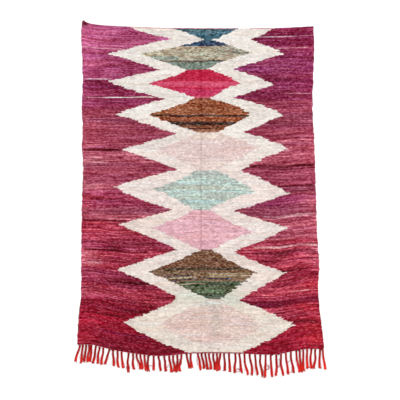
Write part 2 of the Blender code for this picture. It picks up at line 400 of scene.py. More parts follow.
# %% The edges of the zigzag and the diamonds
Turn = namedtuple("Turn", "height x bow")
FIELD_EDGE_LEFT = (
    Turn(0.003, -0.091, -0.035),
    Turn(0.196, -0.484, 0.032),
    Turn(0.348, -0.137, 0.025),
    Turn(0.529, -0.532, -0.015),
    Turn(0.658, -0.142, 0.015),
    Turn(0.822, -0.528, 0.013),
    Turn(0.918, -0.174, -0.032),
    Turn(1.063, -0.547, -0.023),
    Turn(1.176, -0.138, 0.019),
    Turn(1.303, -0.511, 0.000),
    Turn(1.403, -0.142, 0.000),
    Turn(1.531, -0.533, -0.023),
    Turn(1.627, -0.216, -0.028),
    Turn(1.744, -0.583, 0.000),
    Turn(1.818, -0.254, 0.006),
    Turn(1.919, -0.580, -0.023),
    Turn(2.015, -0.184, -0.019),
    Turn(2.093, -0.451, 0.000),
)
DIAMOND_EDGE_LEFT = (
    Turn(0.003, 0.077, 0.026),
    Turn(0.167, -0.289, -0.006),
    Turn(0.338, 0.055, 0.013),
    Turn(0.517, -0.325, 0.017),
    Turn(0.656, 0.000, 0.010),
    Turn(0.799, -0.295, 0.009),
    Turn(0.914, -0.029, 0.013),
    Turn(1.053, -0.287, 0.017),
    Turn(1.170, -0.003, 0.023),
    Turn(1.296, -0.269, 0.000),
    Turn(1.410, -0.006, 0.006),
    Turn(1.528, -0.335, 0.019),
    Turn(1.636, -0.019, 0.013),
    Turn(1.728, -0.328, 0.013),
    Turn(1.815, -0.071, 0.000),
    Turn(1.922, -0.380, 0.032),
    Turn(2.008, 0.032, 0.026),
    Turn(2.077, -0.148, 0.000),
)
DIAMOND_EDGE_RIGHT = (
    Turn(0.003, 0.109, 0.029),
    Turn(0.190, 0.431, -0.019),
    Turn(0.335, 0.129, 0.000),
    Turn(0.512, 0.372, -0.017),
    Turn(0.653, 0.087, -0.032),
    Turn(0.774, 0.354, -0.021),
    Turn(0.913, 0.074, -0.045),
    Turn(1.034, 0.363, 0.016),
    Turn(1.171, 0.106, 0.006),
    Turn(1.320, 0.386, 0.000),
    Turn(1.417, 0.122, -0.006),
    Turn(1.522, 0.328, 0.052),
    Turn(1.634, 0.071, -0.019),
    Turn(1.731, 0.261, 0.029),
    Turn(1.821, 0.048, -0.026),
    Turn(1.927, 0.339, 0.000),
    Turn(2.009, 0.091, 0.000),
    Turn(2.079, 0.245, 0.000),
)
FIELD_EDGE_RIGHT = (
    Turn(-0.001, 0.280, 0.019),
    Turn(0.174, 0.614, 0.026),
    Turn(0.334, 0.252, 0.000),
    Turn(0.512, 0.562, -0.021),
    Turn(0.647, 0.221, 0.015),
    Turn(0.800, 0.580, -0.006),
    Turn(0.909, 0.221, 0.017),
    Turn(1.022, 0.580, 0.019),
    Turn(1.169, 0.267, -0.015),
    Turn(1.309, 0.567, 0.030),
    Turn(1.414, 0.295, -0.004),
    Turn(1.522, 0.535, 0.052),
    Turn(1.640, 0.220, 0.006),
    Turn(1.719, 0.477, 0.030),
    Turn(1.819, 0.220, -0.013),
    Turn(1.919, 0.545, 0.016),
    Turn(2.012, 0.332, 0.013),
    Turn(2.090, 0.489, 0.000),
)
EDGES = (FIELD_EDGE_LEFT, DIAMOND_EDGE_LEFT, DIAMOND_EDGE_RIGHT, FIELD_EDGE_RIGHT)
EDGE_OVERRUN = 0.2


def edge_x(turns, y):
    """Where an edge of the pattern crosses the height y of the floor plan."""
    height = y - HEM_Y
    index = 0
    while index < len(turns) - 2 and height > turns[index + 1].height:
        index += 1
    near, far = turns[index], turns[index + 1]
    t = (height - near.height) / (far.height - near.height)
    t = min(max(t, -EDGE_OVERRUN), 1.0 + EDGE_OVERRUN)
    bowed_out = 4.0 * t * (1.0 - t)  # 0 at both turns and 1 halfway
    return near.x + (far.x - near.x) * t + near.bow * bowed_out


print("diamond edges", [len(turns) for turns in EDGES])

# %% [markdown]
# The bands. A weaver changes yarn from the hem upwards, so a table lists where each dye
# starts. The field's tables follow its slow drift of reds, and the diamonds' table gives one
# colour to each diamond, with the thin bars across some of them. Bands are looked up at one
# place across, and then follow their rows, which slope near the hem.

# %% The bands of colour
Band = namedtuple("Band", "start dye")
LEFT_FIELD_BANDS = (
    Band(0.000, "wine"),
    Band(0.160, "garnet"),
    Band(0.270, "wine"),
    Band(0.340, "ruby"),
    Band(0.440, "raspberry"),
    Band(0.530, "ruby"),
    Band(0.665, "raspberry"),
    Band(0.725, "cherry"),
    Band(0.800, "ruby"),
    Band(0.850, "dusty_rose"),
    Band(0.885, "mulberry"),
    Band(0.930, "raspberry"),
    Band(1.046, "dusty_rose"),
    Band(1.095, "rose"),
    Band(1.215, "dusty_rose"),
    Band(1.285, "rose"),
    Band(1.475, "mulberry"),
    Band(1.515, "rose"),
    Band(1.575, "berry"),
    Band(1.680, "plum"),
    Band(1.745, "magenta"),
    Band(1.965, "orchid"),
)
RIGHT_FIELD_BANDS = (
    Band(0.000, "garnet"),
    Band(0.215, "ruby"),
    Band(0.306, "port"),
    Band(0.350, "cherry"),
    Band(0.440, "ruby"),
    Band(0.540, "cherry"),
    Band(0.725, "dusty_rose"),
    Band(0.880, "mulberry"),
    Band(0.960, "berry"),
    Band(1.010, "mulberry"),
    Band(1.075, "rose"),
    Band(1.215, "dusty_rose"),
    Band(1.375, "rose"),
    Band(1.455, "mulberry"),
    Band(1.540, "rose"),
    Band(1.625, "damson"),
    Band(1.810, "violet"),
    Band(1.870, "damson"),
    Band(1.925, "berry"),
    Band(1.970, "plum"),
)
DIAMOND_BANDS = (
    Band(0.000, "powder"),
    Band(0.337, "forest"),
    Band(0.455, "tan"),
    Band(0.537, "brown"),
    Band(0.657, "candy"),
    Band(0.916, "mint"),
    Band(1.127, "ash"),
    Band(1.171, "petal"),
    Band(1.411, "rust"),
    Band(1.456, "soot"),
    Band(1.483, "rust"),
    Band(1.637, "fuchsia"),
    Band(1.692, "crimson"),
    Band(1.704, "pink"),
    Band(1.740, "crimson"),
    Band(1.816, "sage"),
    Band(1.868, "slate"),
    Band(1.876, "olive_beige"),
    Band(1.971, "navy"),
    Band(2.003, "deep_teal"),
    Band(2.037, "teal"),
)
CREAM_BANDS_LEFT = (
    Band(0.000, "ecru"),
    Band(0.450, "blush"),
    Band(1.400, "ivory"),
)
CREAM_BANDS_RIGHT = (
    Band(0.000, "ecru"),
    Band(0.450, "blush"),
    Band(1.300, "ivory"),
)
TABLE_STEP = 0.001
TABLE_TOP = 2.2


def band_lookup(bands, softness):
    """A function from height to a row of colour and heathering, blurred over this softness."""
    heights = np.arange(0.0, TABLE_TOP, TABLE_STEP)
    index = np.searchsorted([band.start for band in bands], heights, side="right") - 1
    rows = np.array([[*linear(band.dye), DYES[band.dye].heather] for band in bands])[index]
    reach = max(int(softness / TABLE_STEP), 1)
    kernel = np.ones(reach) / reach
    padded = np.pad(rows, ((reach, reach), (0, 0)), mode="edge")
    blurred = [np.convolve(column, kernel, mode="same")[reach:-reach] for column in padded.T]

    def look_up(height):
        return np.stack([np.interp(height, heights, column) for column in blurred], axis=-1)

    return look_up


print("bands", len(LEFT_FIELD_BANDS), len(RIGHT_FIELD_BANDS), "and", len(DIAMOND_BANDS))

# %% [markdown]
# The streaks. Where a yarn ran out, the weaver laid in what was at hand, so single rows turn
# dark or pale over part of their length. A table gives each one: from where to where, how
# high above the hem line at its middle, how many rows, which dye, and how fully that dye
# covers what is there.

# %% The streaks
Streak = namedtuple("Streak", "x_from x_to height rows dye cover")
STREAKS = (
    Streak(-0.753, -0.477, 1.955, 1, "pale_rose", 0.45),
    Streak(-0.741, -0.560, 1.757, 1, "petal", 0.60),
    Streak(-0.741, -0.560, 1.743, 1, "oxblood", 0.80),
    Streak(-0.741, -0.283, 1.641, 1, "petal", 0.70),
    Streak(-0.753, -0.477, 1.575, 1, "oxblood", 0.50),
    Streak(-0.753, -0.500, 1.303, 2, "oxblood", 0.98),
    Streak(-0.741, -0.450, 1.200, 1, "plum", 0.60),
    Streak(-0.753, -0.464, 0.848, 2, "oxblood", 0.92),
    Streak(-0.753, -0.316, 0.700, 1, "oxblood", 0.50),
    Streak(-0.753, -0.300, 0.682, 1, "scarlet", 0.60),
    Streak(-0.753, -0.316, 0.655, 2, "oxblood", 0.85),
    Streak(-0.600, -0.370, 0.603, 1, "purple", 0.70),
    Streak(-0.756, -0.530, 0.542, 1, "purple", 0.45),
    Streak(-0.756, -0.490, 0.516, 1, "purple", 0.75),
    Streak(-0.600, -0.290, 0.448, 2, "oxblood", 1.00),
    Streak(-0.750, -0.238, 0.417, 1, "purple", 0.70),
    Streak(-0.756, -0.600, 0.352, 1, "purple", 0.60),
    Streak(-0.756, -0.506, 0.328, 1, "oxblood", 0.85),
    Streak(-0.325, -0.219, 0.340, 1, "oxblood", 0.75),
    Streak(-0.596, -0.390, 0.280, 1, "purple", 0.80),
    Streak(-0.760, -0.470, 0.247, 2, "oxblood", 0.75),
    Streak(-0.640, -0.290, 0.107, 2, "purple", 0.90),
    Streak(0.354, 0.741, 2.029, 1, "pale_rose", 0.65),
    Streak(0.487, 0.712, 1.960, 1, "pale_rose", 0.55),
    Streak(0.541, 0.741, 1.668, 1, "pale_rose", 0.35),
    Streak(0.457, 0.631, 1.374, 1, "wine", 0.60),
    Streak(0.515, 0.741, 1.338, 1, "purple", 0.60),
    Streak(0.361, 0.734, 1.222, 1, "purple", 0.50),
    Streak(0.321, 0.747, 1.192, 3, "oxblood", 0.85),
    Streak(0.580, 0.747, 1.200, 1, "oxblood", 0.90),
    Streak(0.406, 0.753, 1.180, 1, "oxblood", 0.80),
    Streak(0.477, 0.747, 1.071, 2, "oxblood", 0.88),
    Streak(0.565, 0.753, 1.039, 1, "oxblood", 0.80),
    Streak(0.573, 0.753, 1.019, 1, "wine", 0.70),
    Streak(0.400, 0.753, 0.873, 3, "pale_rose", 0.35),
    Streak(0.430, 0.753, 0.775, 1, "wine", 0.60),
    Streak(0.370, 0.700, 0.742, 1, "purple", 0.35),
    Streak(0.350, 0.753, 0.718, 1, "wine", 0.40),
    Streak(0.330, 0.600, 0.660, 1, "scarlet", 0.60),
    Streak(0.420, 0.766, 0.622, 1, "wine", 0.65),
    Streak(0.340, 0.766, 0.679, 3, "pale_rose", 0.58),
    Streak(0.480, 0.766, 0.700, 1, "purple", 0.60),
    Streak(0.341, 0.760, 0.640, 2, "oxblood", 0.62),
    Streak(0.393, 0.753, 0.594, 1, "purple", 0.85),
    Streak(0.386, 0.535, 0.583, 2, "purple", 0.60),
    Streak(0.489, 0.766, 0.529, 1, "oxblood", 0.85),
    Streak(0.600, 0.773, 0.500, 2, "wine", 0.90),
    Streak(0.460, 0.773, 0.478, 1, "oxblood", 0.70),
    Streak(0.580, 0.720, 0.393, 1, "pale_rose", 0.50),
    Streak(0.477, 0.689, 0.262, 1, "oxblood", 1.00),
    Streak(0.592, 0.779, 0.207, 2, "oxblood", 0.80),
    Streak(-0.328, -0.120, 1.893, 5, "turquoise", 0.45),
    Streak(0.193, 0.335, 1.928, 2, "sage", 0.70),
    Streak(-0.219, 0.232, 1.641, 1, "pale_rose", 0.50),
    Streak(-0.310, 0.330, 1.525, 2, "black", 0.85),
    Streak(-0.100, 0.160, 1.440, 1, "black", 0.85),
    Streak(0.116, 0.200, 1.127, 1, "sea", 0.70),
    Streak(0.142, 0.316, 1.040, 1, "sea", 0.60),
    Streak(-0.225, 0.303, 0.538, 2, "pine", 0.70),
    Streak(0.050, 0.330, 0.495, 4, "sand", 0.50),
    Streak(-0.238, -0.026, 0.487, 1, "navy", 0.75),
    Streak(-0.210, 0.000, 0.477, 1, "sand", 0.75),
    Streak(-0.187, 0.000, 0.465, 1, "navy", 0.95),
    Streak(0.000, 0.220, 0.476, 1, "navy", 0.90),
    Streak(-0.135, 0.052, 0.442, 1, "sand", 0.75),
    Streak(0.040, 0.140, 0.457, 1, "sand", 0.60),
    Streak(-0.026, 0.170, 0.395, 4, "moss", 0.60),
)


def streak_rows(streak):
    """The numbers of the rows that a streak lies in."""
    x = (streak.x_from + streak.x_to) / 2
    heights = row_y(row_middles, x) - HEM_Y
    lowest = streak.height - (streak.rows - 1) / 2 * CLOTH_LENGTH / ROW_COUNT
    first = int(np.argmin(np.abs(heights - lowest)))
    return range(first, first + streak.rows)


streaks_by_row = {}
for streak in STREAKS:
    for number in streak_rows(streak):
        streaks_by_row.setdefault(number, []).append(streak)
print("streaks", len(STREAKS), "in", len(streaks_by_row), "rows")

# %% [markdown]
# The stains. Years of sun have faded the selvedges, and dye has run where it was washed: the
# cream is greenish below the green diamond, and the palest diamond has a pink cloud and a
# grey one. A table gives each stain's middle, its reach to the side and along, its dye and
# how fully it covers at the middle, from where it fades out like a drop on cloth. The first
# column keeps it to one part of the pattern.

# %% The stains
Stain = namedtuple("Stain", "part x height reach_x reach_y dye cover")
STAINS = (
    Stain("field", -0.738, 2.110, 0.022, 0.018, "oxblood", 0.98),
    Stain("field", -0.640, 1.995, 0.140, 0.030, "orchid", 0.45),
    Stain("field", -0.735, 1.850, 0.080, 0.090, "orchid", 0.85),
    Stain("field", -0.450, 1.790, 0.130, 0.040, "berry", 0.75),
    Stain("field", -0.730, 1.630, 0.080, 0.050, "magenta", 0.70),
    Stain("field", -0.420, 1.628, 0.120, 0.018, "violet", 0.60),
    Stain("field", -0.715, 1.450, 0.075, 0.055, "dusty_rose", 0.80),
    Stain("field", -0.740, 1.325, 0.080, 0.040, "dusty_rose", 0.70),
    Stain("field", -0.720, 1.230, 0.150, 0.030, "pale_rose", 0.30),
    Stain("field", -0.740, 1.075, 0.090, 0.030, "pale_rose", 0.25),
    Stain("field", -0.740, 0.980, 0.070, 0.050, "cherry", 0.70),
    Stain("field", -0.730, 0.610, 0.080, 0.055, "dusty_rose", 0.85),
    Stain("field", -0.670, 0.578, 0.050, 0.014, "pale_rose", 0.30),
    Stain("field", -0.740, 0.400, 0.090, 0.035, "dusty_rose", 0.45),
    Stain("field", -0.740, 0.100, 0.080, 0.060, "scarlet", 0.40),
    Stain("field", 0.520, 1.850, 0.120, 0.050, "magenta", 0.45),
    Stain("field", 0.730, 0.960, 0.070, 0.060, "dusty_rose", 0.80),
    Stain("field", 0.470, 0.930, 0.120, 0.025, "violet", 0.30),
    Stain("field", 0.745, 0.650, 0.070, 0.070, "dusty_rose", 0.70),
    Stain("field", 0.735, 0.440, 0.070, 0.035, "scarlet", 0.65),
    Stain("field", 0.700, 0.290, 0.110, 0.030, "scarlet", 0.90),
    Stain("field", 0.760, 0.130, 0.090, 0.100, "scarlet", 0.80),
    Stain("cream", -0.040, 0.360, 0.140, 0.045, "celadon", 0.75),
    Stain("cream", 0.210, 0.340, 0.080, 0.060, "celadon", 0.75),
    Stain("cream", -0.330, 0.870, 0.200, 0.080, "shell", 0.50),
    Stain("cream", -0.350, 1.450, 0.140, 0.050, "ecru", 0.50),
    Stain("diamonds", 0.055, 0.315, 0.120, 0.025, "celadon", 0.55),
    Stain("diamonds", 0.105, 0.200, 0.030, 0.130, "ash", 0.28),
    Stain("diamonds", -0.130, 0.165, 0.120, 0.055, "blossom", 0.38),
    Stain("diamonds", 0.060, 0.085, 0.140, 0.040, "blossom", 0.40),
    Stain("diamonds", 0.290, 0.210, 0.080, 0.060, "petal", 0.60),
    Stain("diamonds", 0.420, 0.190, 0.060, 0.060, "ecru", 0.90),
    Stain("diamonds", 0.090, 0.000, 0.160, 0.045, "ecru", 0.95),
    Stain("diamonds", -0.280, 0.170, 0.050, 0.050, "ecru", 0.80),
    Stain("diamonds", 0.020, 1.395, 0.220, 0.022, "ecru", 0.70),
    Stain("diamonds", -0.200, 1.290, 0.080, 0.060, "blossom", 0.25),
    Stain("diamonds", 0.270, 1.300, 0.110, 0.030, "blossom", 0.45),
    Stain("diamonds", 0.090, 1.200, 0.160, 0.030, "ecru", 0.50),
    Stain("diamonds", 0.030, 0.945, 0.100, 0.025, "sea", 0.25),
    Stain("diamonds", 0.160, 1.945, 0.110, 0.022, "slate", 0.20),
)
print("stains", len(STAINS))

# %% [markdown]
# Wool is never one flat colour: it darkens and pales along the yarn, it turns redder or more
# purple from one handful of rags to the next, and it is flecked where fibres of two batches
# lie together. A mottle is a smooth random field: random values on a lattice, blended in
# between, and looked up at a place along the row and at the row's number. Blender's noise
# textures could do the same in the material, but they know nothing of rows. Each mottle's
# sizes are how long its blots are, in metres, and how many rows they span.

# %% A mottle along a row
LATTICE = 512
Mottle = namedtuple("Mottle", "length rows")
STREAK_MOTTLE = Mottle(0.110, 0.7)
BLOT_MOTTLE = Mottle(0.0090, 0.8)
FUZZ_MOTTLE = Mottle(0.0061, 0.7)
CLOUD_MOTTLE = Mottle(0.19, 9.0)
BATCH_MOTTLE = Mottle(0.30, 1.7)
SLUB_MOTTLE = Mottle(0.03, 0.9)


@lru_cache(maxsize=None)
def random_lattice(seed):
    return np.random.default_rng(seed).uniform(-1.0, 1.0, (LATTICE, LATTICE))


def mottle(x, row, sizes, seed):
    """Smooth random values from -1 to 1 along a row."""
    lattice = random_lattice(seed)
    u, v = np.asarray(x) / sizes.length + LATTICE, np.full_like(x, row / sizes.rows)
    i, j = np.floor(u).astype(int), np.floor(v).astype(int)
    s, t = ease(u - i), ease(v - j)
    i, j = i % LATTICE, j % LATTICE
    next_i, next_j = (i + 1) % LATTICE, (j + 1) % LATTICE
    low = lattice[i, j] * (1.0 - s) + lattice[next_i, j] * s
    high = lattice[i, next_j] * (1.0 - s) + lattice[next_i, next_j] * s
    return low * (1.0 - t) + high * t


print("a mottle at two places", np.round(mottle(np.array([0.0, 0.05]), 3, STREAK_MOTTLE, 1), 3))

# %% [markdown]
# One builder makes every yarn in the rug. A yarn is a line of rings, each a small polygon
# round the yarn's middle, and neighbouring rings are joined by faces, with a lid at each end.
# The lids are shaded flat, so that they don't darken the yarn's ends. Thousands of curve
# objects would do the same far more slowly, so the corners are computed as arrays and joined
# in one mesh. The mesh also gets its colours, one for each corner, and a UV map in which
# every yarn has a strip of its own, so that its colours can be baked later.

# %% The strips of the UV map
Yarn = namedtuple("Yarn", "rings colours")
LID_SHARE = 0.012
LID_SIZE = 0.3
STRIP_SHARE = 0.92


def strip_map(count, sides, around, lane, lanes, strip, strips):
    """The UV corners of one yarn's side faces and of its two lids, in the yarn's own strip."""
    u = (lane + LID_SHARE + (1.0 - 2.0 * LID_SHARE) * np.linspace(0.0, 1.0, count)) / lanes
    v = (strip + (1.0 - STRIP_SHARE) / 2 + STRIP_SHARE * np.asarray(around)) / strips
    near = np.meshgrid(u[:-1], v[:-1], indexing="ij")
    far = np.meshgrid(u[1:], v[1:], indexing="ij")
    corners = ((near[0], near[1]), (near[0], far[1]), (far[0], far[1]), (far[0], near[1]))
    walls = np.stack([np.stack(corner, axis=-1) for corner in corners], axis=2)
    turn = math.tau * np.arange(sides) / sides
    size_u, size_v = LID_SIZE * LID_SHARE / lanes, LID_SIZE / strips
    ring = np.stack([size_u * np.cos(turn), size_v * np.sin(turn)], axis=-1)
    middle_v = (strip + 0.5) / strips
    lids = [
        ring + ((lane + 0.5 * LID_SHARE) / lanes, middle_v),
        ring + ((lane + 1.0 - 0.5 * LID_SHARE) / lanes, middle_v),
    ]
    return walls.reshape(-1, 2), np.concatenate(lids)


test_walls, test_lids = strip_map(3, 4, (0.0, 0.25, 0.5, 0.75, 1.0), 0, 1, 0, 1)
print("a yarn of three rings has", len(test_walls), "wall corners and", len(test_lids), "in lids")

# %% The yarn builder
def yarn_mesh(name, yarns, around, lanes=1):
    """One mesh object of all these yarns, with its dye attribute and its UV map."""
    sides = yarns[0].rings.shape[1]
    strips = math.ceil(len(yarns) / lanes)
    corners, colours, walls, lids, wall_uvs, lid_uvs = [], [], [], [], [], []
    first = 0
    for index, yarn in enumerate(yarns):
        count = len(yarn.rings)
        grid = first + np.arange(count * sides).reshape(count, sides)
        turned = np.roll(grid, -1, axis=1)
        walls.append(np.stack([grid[:-1], turned[:-1], turned[1:], grid[1:]], -1).reshape(-1, 4))
        lids.extend([grid[0][::-1].tolist(), grid[-1].tolist()])
        uvs = strip_map(count, sides, around, index % lanes, lanes, index // lanes, strips)
        wall_uvs.append(uvs[0])
        lid_uvs.append(uvs[1])
        corners.append(yarn.rings.reshape(-1, 3))
        colours.append(np.repeat(yarn.colours, sides, axis=0))
        first += count * sides
    mesh = bpy.data.meshes.new(name)
    faces = np.concatenate(walls).tolist() + lids
    mesh.from_pydata(np.concatenate(corners).tolist(), [], faces)
    uv_layer = mesh.uv_layers.new(name="OFBake")
    uv_layer.uv.foreach_set("vector", np.concatenate(wall_uvs + lid_uvs).ravel())
    tinted = np.concatenate(colours) * DYE_GAIN
    dye = mesh.color_attributes.new("dye", "FLOAT_COLOR", "POINT")
    dye.data.foreach_set("color", np.column_stack([tinted, np.ones(len(tinted))]).ravel())
    smooth = [True] * (len(faces) - len(lids)) + [False] * len(lids)
    mesh.polygons.foreach_set("use_smooth", smooth)
    mesh.validate()
    piece = bpy.data.objects.new(name, mesh)
    bpy.context.scene.collection.objects.link(piece)
    triangles = sum(len(polygon.vertices) - 2 for polygon in mesh.polygons)
    print(name, len(yarns), "yarns", triangles, "triangles")
    return piece


# %% [markdown]
# Where each row changes colour. The weaver turned a yarn back where the pattern's edge
# crosses the row, always between two warps, so the crossing is rounded to a warp. A yarn goes
# and comes back, so two rows share most of the hand's unevenness, and each adds a little of
# its own. That is what gives the diamonds their serrated edges. Row and edge depend on each
# other, so the crossing is found by trying a few times, each time from the last answer. At
# the selvedges some pairs of rows stand out, where the yarn was turned back too loosely.

# %% The crossings of rows and edges
WARP_PITCH = 0.0061
HAND_SLIP = 1.4
PAIR_SLIP = 1.6
EDGE_TRIES = 7
TURN_SLIP = 0.0030
TURN_SLIP_SHARES = (-0.2, 1.0)
TURN_SLIP_RARITY = 3
LEAST_WARPS = 2
LAST_CUT = len(EDGES) + 1

hand_draw = random.Random(29)
turn_draw = np.random.default_rng(31)
turn_shares = turn_draw.uniform(*TURN_SLIP_SHARES, (ROW_COUNT, 2))
turn_slips = TURN_SLIP * turn_shares**TURN_SLIP_RARITY


def crossing(up, edge, x):
    """Where the row meets an edge, which is a function of the height on the plan."""
    for _ in range(EDGE_TRIES):
        x = float(edge(float(row_y(up, x))))
    return x


row_cuts = []
for number, up in enumerate(row_middles):
    if number % 2 == 0:
        pair_slips = [hand_draw.uniform(-PAIR_SLIP, PAIR_SLIP) for _ in EDGES]
    inner = []
    for turns, pair_slip in zip(EDGES, pair_slips):
        x = crossing(up, lambda y, turns=turns: edge_x(turns, y), 0.0)
        slip = pair_slip + hand_draw.uniform(-HAND_SLIP, HAND_SLIP)
        inner.append(round(x / WARP_PITCH + slip))
    for index in range(1, len(inner)):
        inner[index] = max(inner[index], inner[index - 1] + LEAST_WARPS)
    left_end = crossing(up, left_x, -CLOTH_WIDTH / 2) - turn_slips[number // 2, 0]
    right_end = crossing(up, right_x, CLOTH_WIDTH / 2) + turn_slips[(number + 1) // 2, 1]
    row_cuts.append((left_end, *inner, right_end))
middle_cuts = row_cuts[ROW_COUNT // 2]
print("crossings of the middle row", [round(float(cut), 3) for cut in middle_cuts])

# %% [markdown]
# The rug has five wefts: two fields, two borders and the column of diamonds. Each spans the
# rows from one crossing to the next and has its own table of bands. How a wool was spun says
# how much of each mottle it shows, so the field, the cream and the diamonds have a spin
# each. Its tone is how much light and dark change red, green and blue, and its hue is how
# much a change of batch does.

# %% The spins and the wefts
Spin = namedtuple("Spin", "streaks blots clouds grain tone hue fleck_dye fleck")
FIELD_SPIN = Spin(
    streaks=1.8,
    blots=0.7,
    clouds=0.4,
    grain=0.092,
    tone=np.array([0.65, 1.35, 1.10]),
    hue=np.array([-0.08, 0.06, 0.30]),
    fleck_dye="pale_rose",
    fleck=0.26,
)
CREAM_SPIN = Spin(
    streaks=0.7,
    blots=0.8,
    clouds=0.3,
    grain=0.095,
    tone=np.array([1.0, 1.0, 1.0]),
    hue=np.array([0.00, 0.25, 0.45]),
    fleck_dye="shell",
    fleck=0.30,
)
DIAMOND_SPIN = Spin(
    streaks=0.7,
    blots=0.7,
    clouds=0.3,
    grain=0.140,
    tone=np.array([0.7, 1.1, 1.1]),
    hue=np.array([-0.10, 0.20, 0.45]),
    fleck_dye="shell",
    fleck=0.20,
)

Weft = namedtuple("Weft", "name first last bands softness look_up_x seed spin")
WEFTS = (
    Weft("weft_field_left", 0, 1, LEFT_FIELD_BANDS, 0.016, -0.60, 100, FIELD_SPIN),
    Weft("weft_cream_left", 1, 2, CREAM_BANDS_LEFT, 0.300, 0.00, 200, CREAM_SPIN),
    Weft("weft_diamonds", 2, 3, DIAMOND_BANDS, 0.004, 0.03, 300, DIAMOND_SPIN),
    Weft("weft_cream_right", 3, 4, CREAM_BANDS_RIGHT, 0.300, 0.00, 400, CREAM_SPIN),
    Weft("weft_field_right", 4, 5, RIGHT_FIELD_BANDS, 0.010, 0.62, 500, FIELD_SPIN),
)
print("wefts", [weft.name for weft in WEFTS])

# %% [markdown]
# The colour of a row is put together in the order in which it came about. It starts as the
# dye of its band, whose edge wobbles a little. Stains and streaks lie over that, and the sun
# has faded the field towards its selvedges. Then come the mottles, stronger the more a dye
# is heathered: lighter and darker stretches, and redder or more purple ones. Pale flecks are
# blended in, and at last the fuzz, and a painted shade that darkens the colour along the
# crease. Fuzz changes a red as much as a cream, which the eye counts in steps of the square
# root, so that is where both are added.

# %% The colour of a row
BAND_WOBBLE = 0.0035
HEATHER_GAIN = 3.5
STREAK_END = 0.02
STREAK_PATCHY = 0.25
HUE_STREAKS = 0.6
FLECK_FROM = 0.72
LIGHT_HEATHER = 0.06
MOST_SPECKLE = 2.1
# Painted shade: how much the colour darkens along the crease.
CREASE_PAINTED_SHADE = 0.10
SUN_FADE = 0.10
SUN_MIDDLE = 0.61
SUN_REACH = 0.13


def blend(colours, dye_name, cover):
    """These colours with a dye laid over them, as fully as the cover says at each x."""
    cover = np.clip(cover, 0.0, 1.0)[:, None]
    return colours * (1.0 - cover) + linear(dye_name) * cover


def marked(colours, weft, number, xs, heights):
    """These colours of a row with its stains and streaks laid over them."""
    for stain in STAINS:
        if stain.part in weft.name:
            across = (xs - stain.x) / stain.reach_x
            along = (heights - stain.height) / stain.reach_y
            cover = stain.cover * np.exp(-(across**2) - along**2)
            colours = blend(colours, stain.dye, cover)
    for streak in streaks_by_row.get(number, ()):
        if "cream" not in weft.name:
            reach = np.minimum(xs - streak.x_from, streak.x_to - xs) / STREAK_END
            patchy = 1.0 + STREAK_PATCHY * mottle(xs, number, STREAK_MOTTLE, weft.seed + 3)
            colours = blend(colours, streak.dye, streak.cover * np.clip(reach, 0.0, 1.0) * patchy)
    return colours


def row_colours(weft, look_up, number, xs):
    """The colour of a row at each x."""
    seed, spin = weft.seed, weft.spin
    height = float(row_y(row_middles[number], weft.look_up_x)) - HEM_Y
    heights = row_y(row_middles[number], xs) - HEM_Y
    found = look_up(height + BAND_WOBBLE * mottle(xs, number, CLOUD_MOTTLE, seed + 4))
    colours, heather = found[:, :3], HEATHER_GAIN * found[:, 3:]
    colours = marked(colours, weft, number, xs, heights)
    if "field" in weft.name:
        outward = np.clip((np.abs(xs) - SUN_MIDDLE) / SUN_REACH, -1.0, 1.0)
        colours = colours * np.exp(SUN_FADE * outward)[:, None]
    tone = spin.streaks * mottle(xs, number, STREAK_MOTTLE, seed)
    tone = tone + spin.blots * mottle(xs, number, BLOT_MOTTLE, seed + 1)
    tone = tone + spin.clouds * mottle(xs, number, CLOUD_MOTTLE, seed + 2)
    hue = mottle(xs, number, BATCH_MOTTLE, seed + 6)
    hue = hue + HUE_STREAKS * mottle(xs, number, STREAK_MOTTLE, seed + 7)
    change = tone[:, None] * spin.tone + hue[:, None] * spin.hue
    paleness = mottle(xs, number, BLOT_MOTTLE, seed + 8)
    flecks = spin.fleck * (paleness - FLECK_FROM) / (1.0 - FLECK_FROM)
    colours = blend(colours * np.exp(heather * change), spin.fleck_dye, flecks)
    speckle = np.clip(heather[:, 0] / (HEATHER_GAIN * LIGHT_HEATHER), 1.0, MOST_SPECKLE)
    fuzz = spin.grain * speckle * mottle(xs, number, FUZZ_MOTTLE, seed + 9)
    # Painted shade along the crease, taken off the colour.
    painted_crease_shade = CREASE_PAINTED_SHADE * crease(xs, heights + HEM_Y)
    return np.clip(np.sqrt(colours) + (fuzz - painted_crease_shade)[:, None], 0.0, 1.0) ** 2


test_look_up = band_lookup(WEFTS[0].bands, WEFTS[0].softness)
test_colour = row_colours(WEFTS[0], test_look_up, 0, np.array([-0.7]))[0]
print("the lowest row at its left", np.round(test_colour, 3))

# %% [markdown]
# The weft. Each row is laid over one warp and under the next, so its back rises and falls,
# and the next row does the opposite: that is plain weave. A stretch of one row in one colour
# is a yarn of four-sided rings, one ring at each warp. Its two sides stay at the middle of
# the cloth's thickness, where they press against the neighbouring rows and hide the warp. It
# is a little thicker or thinner along its way, which spinners call slubs. At a selvedge the
# yarn turns back into the next row, so each pair of rows leans together there. At a change
# of colour it reaches a little into the gap between two warps and ends.

# %% The yarn of a row
WEFT_WAVE = 0.0007
WEFT_HALF_HEIGHT = 0.0020
WEFT_HALF_SHARE = 0.56
SLUB = 0.16
JOIN_OVERLAP = 0.3
JOIN_SHRINK = 0.82
TURN_ROOM = 0.7
TURN_LEAN = 0.12
TURN_SHRINK = 0.97
LEAST_HEIGHT = 0.0001


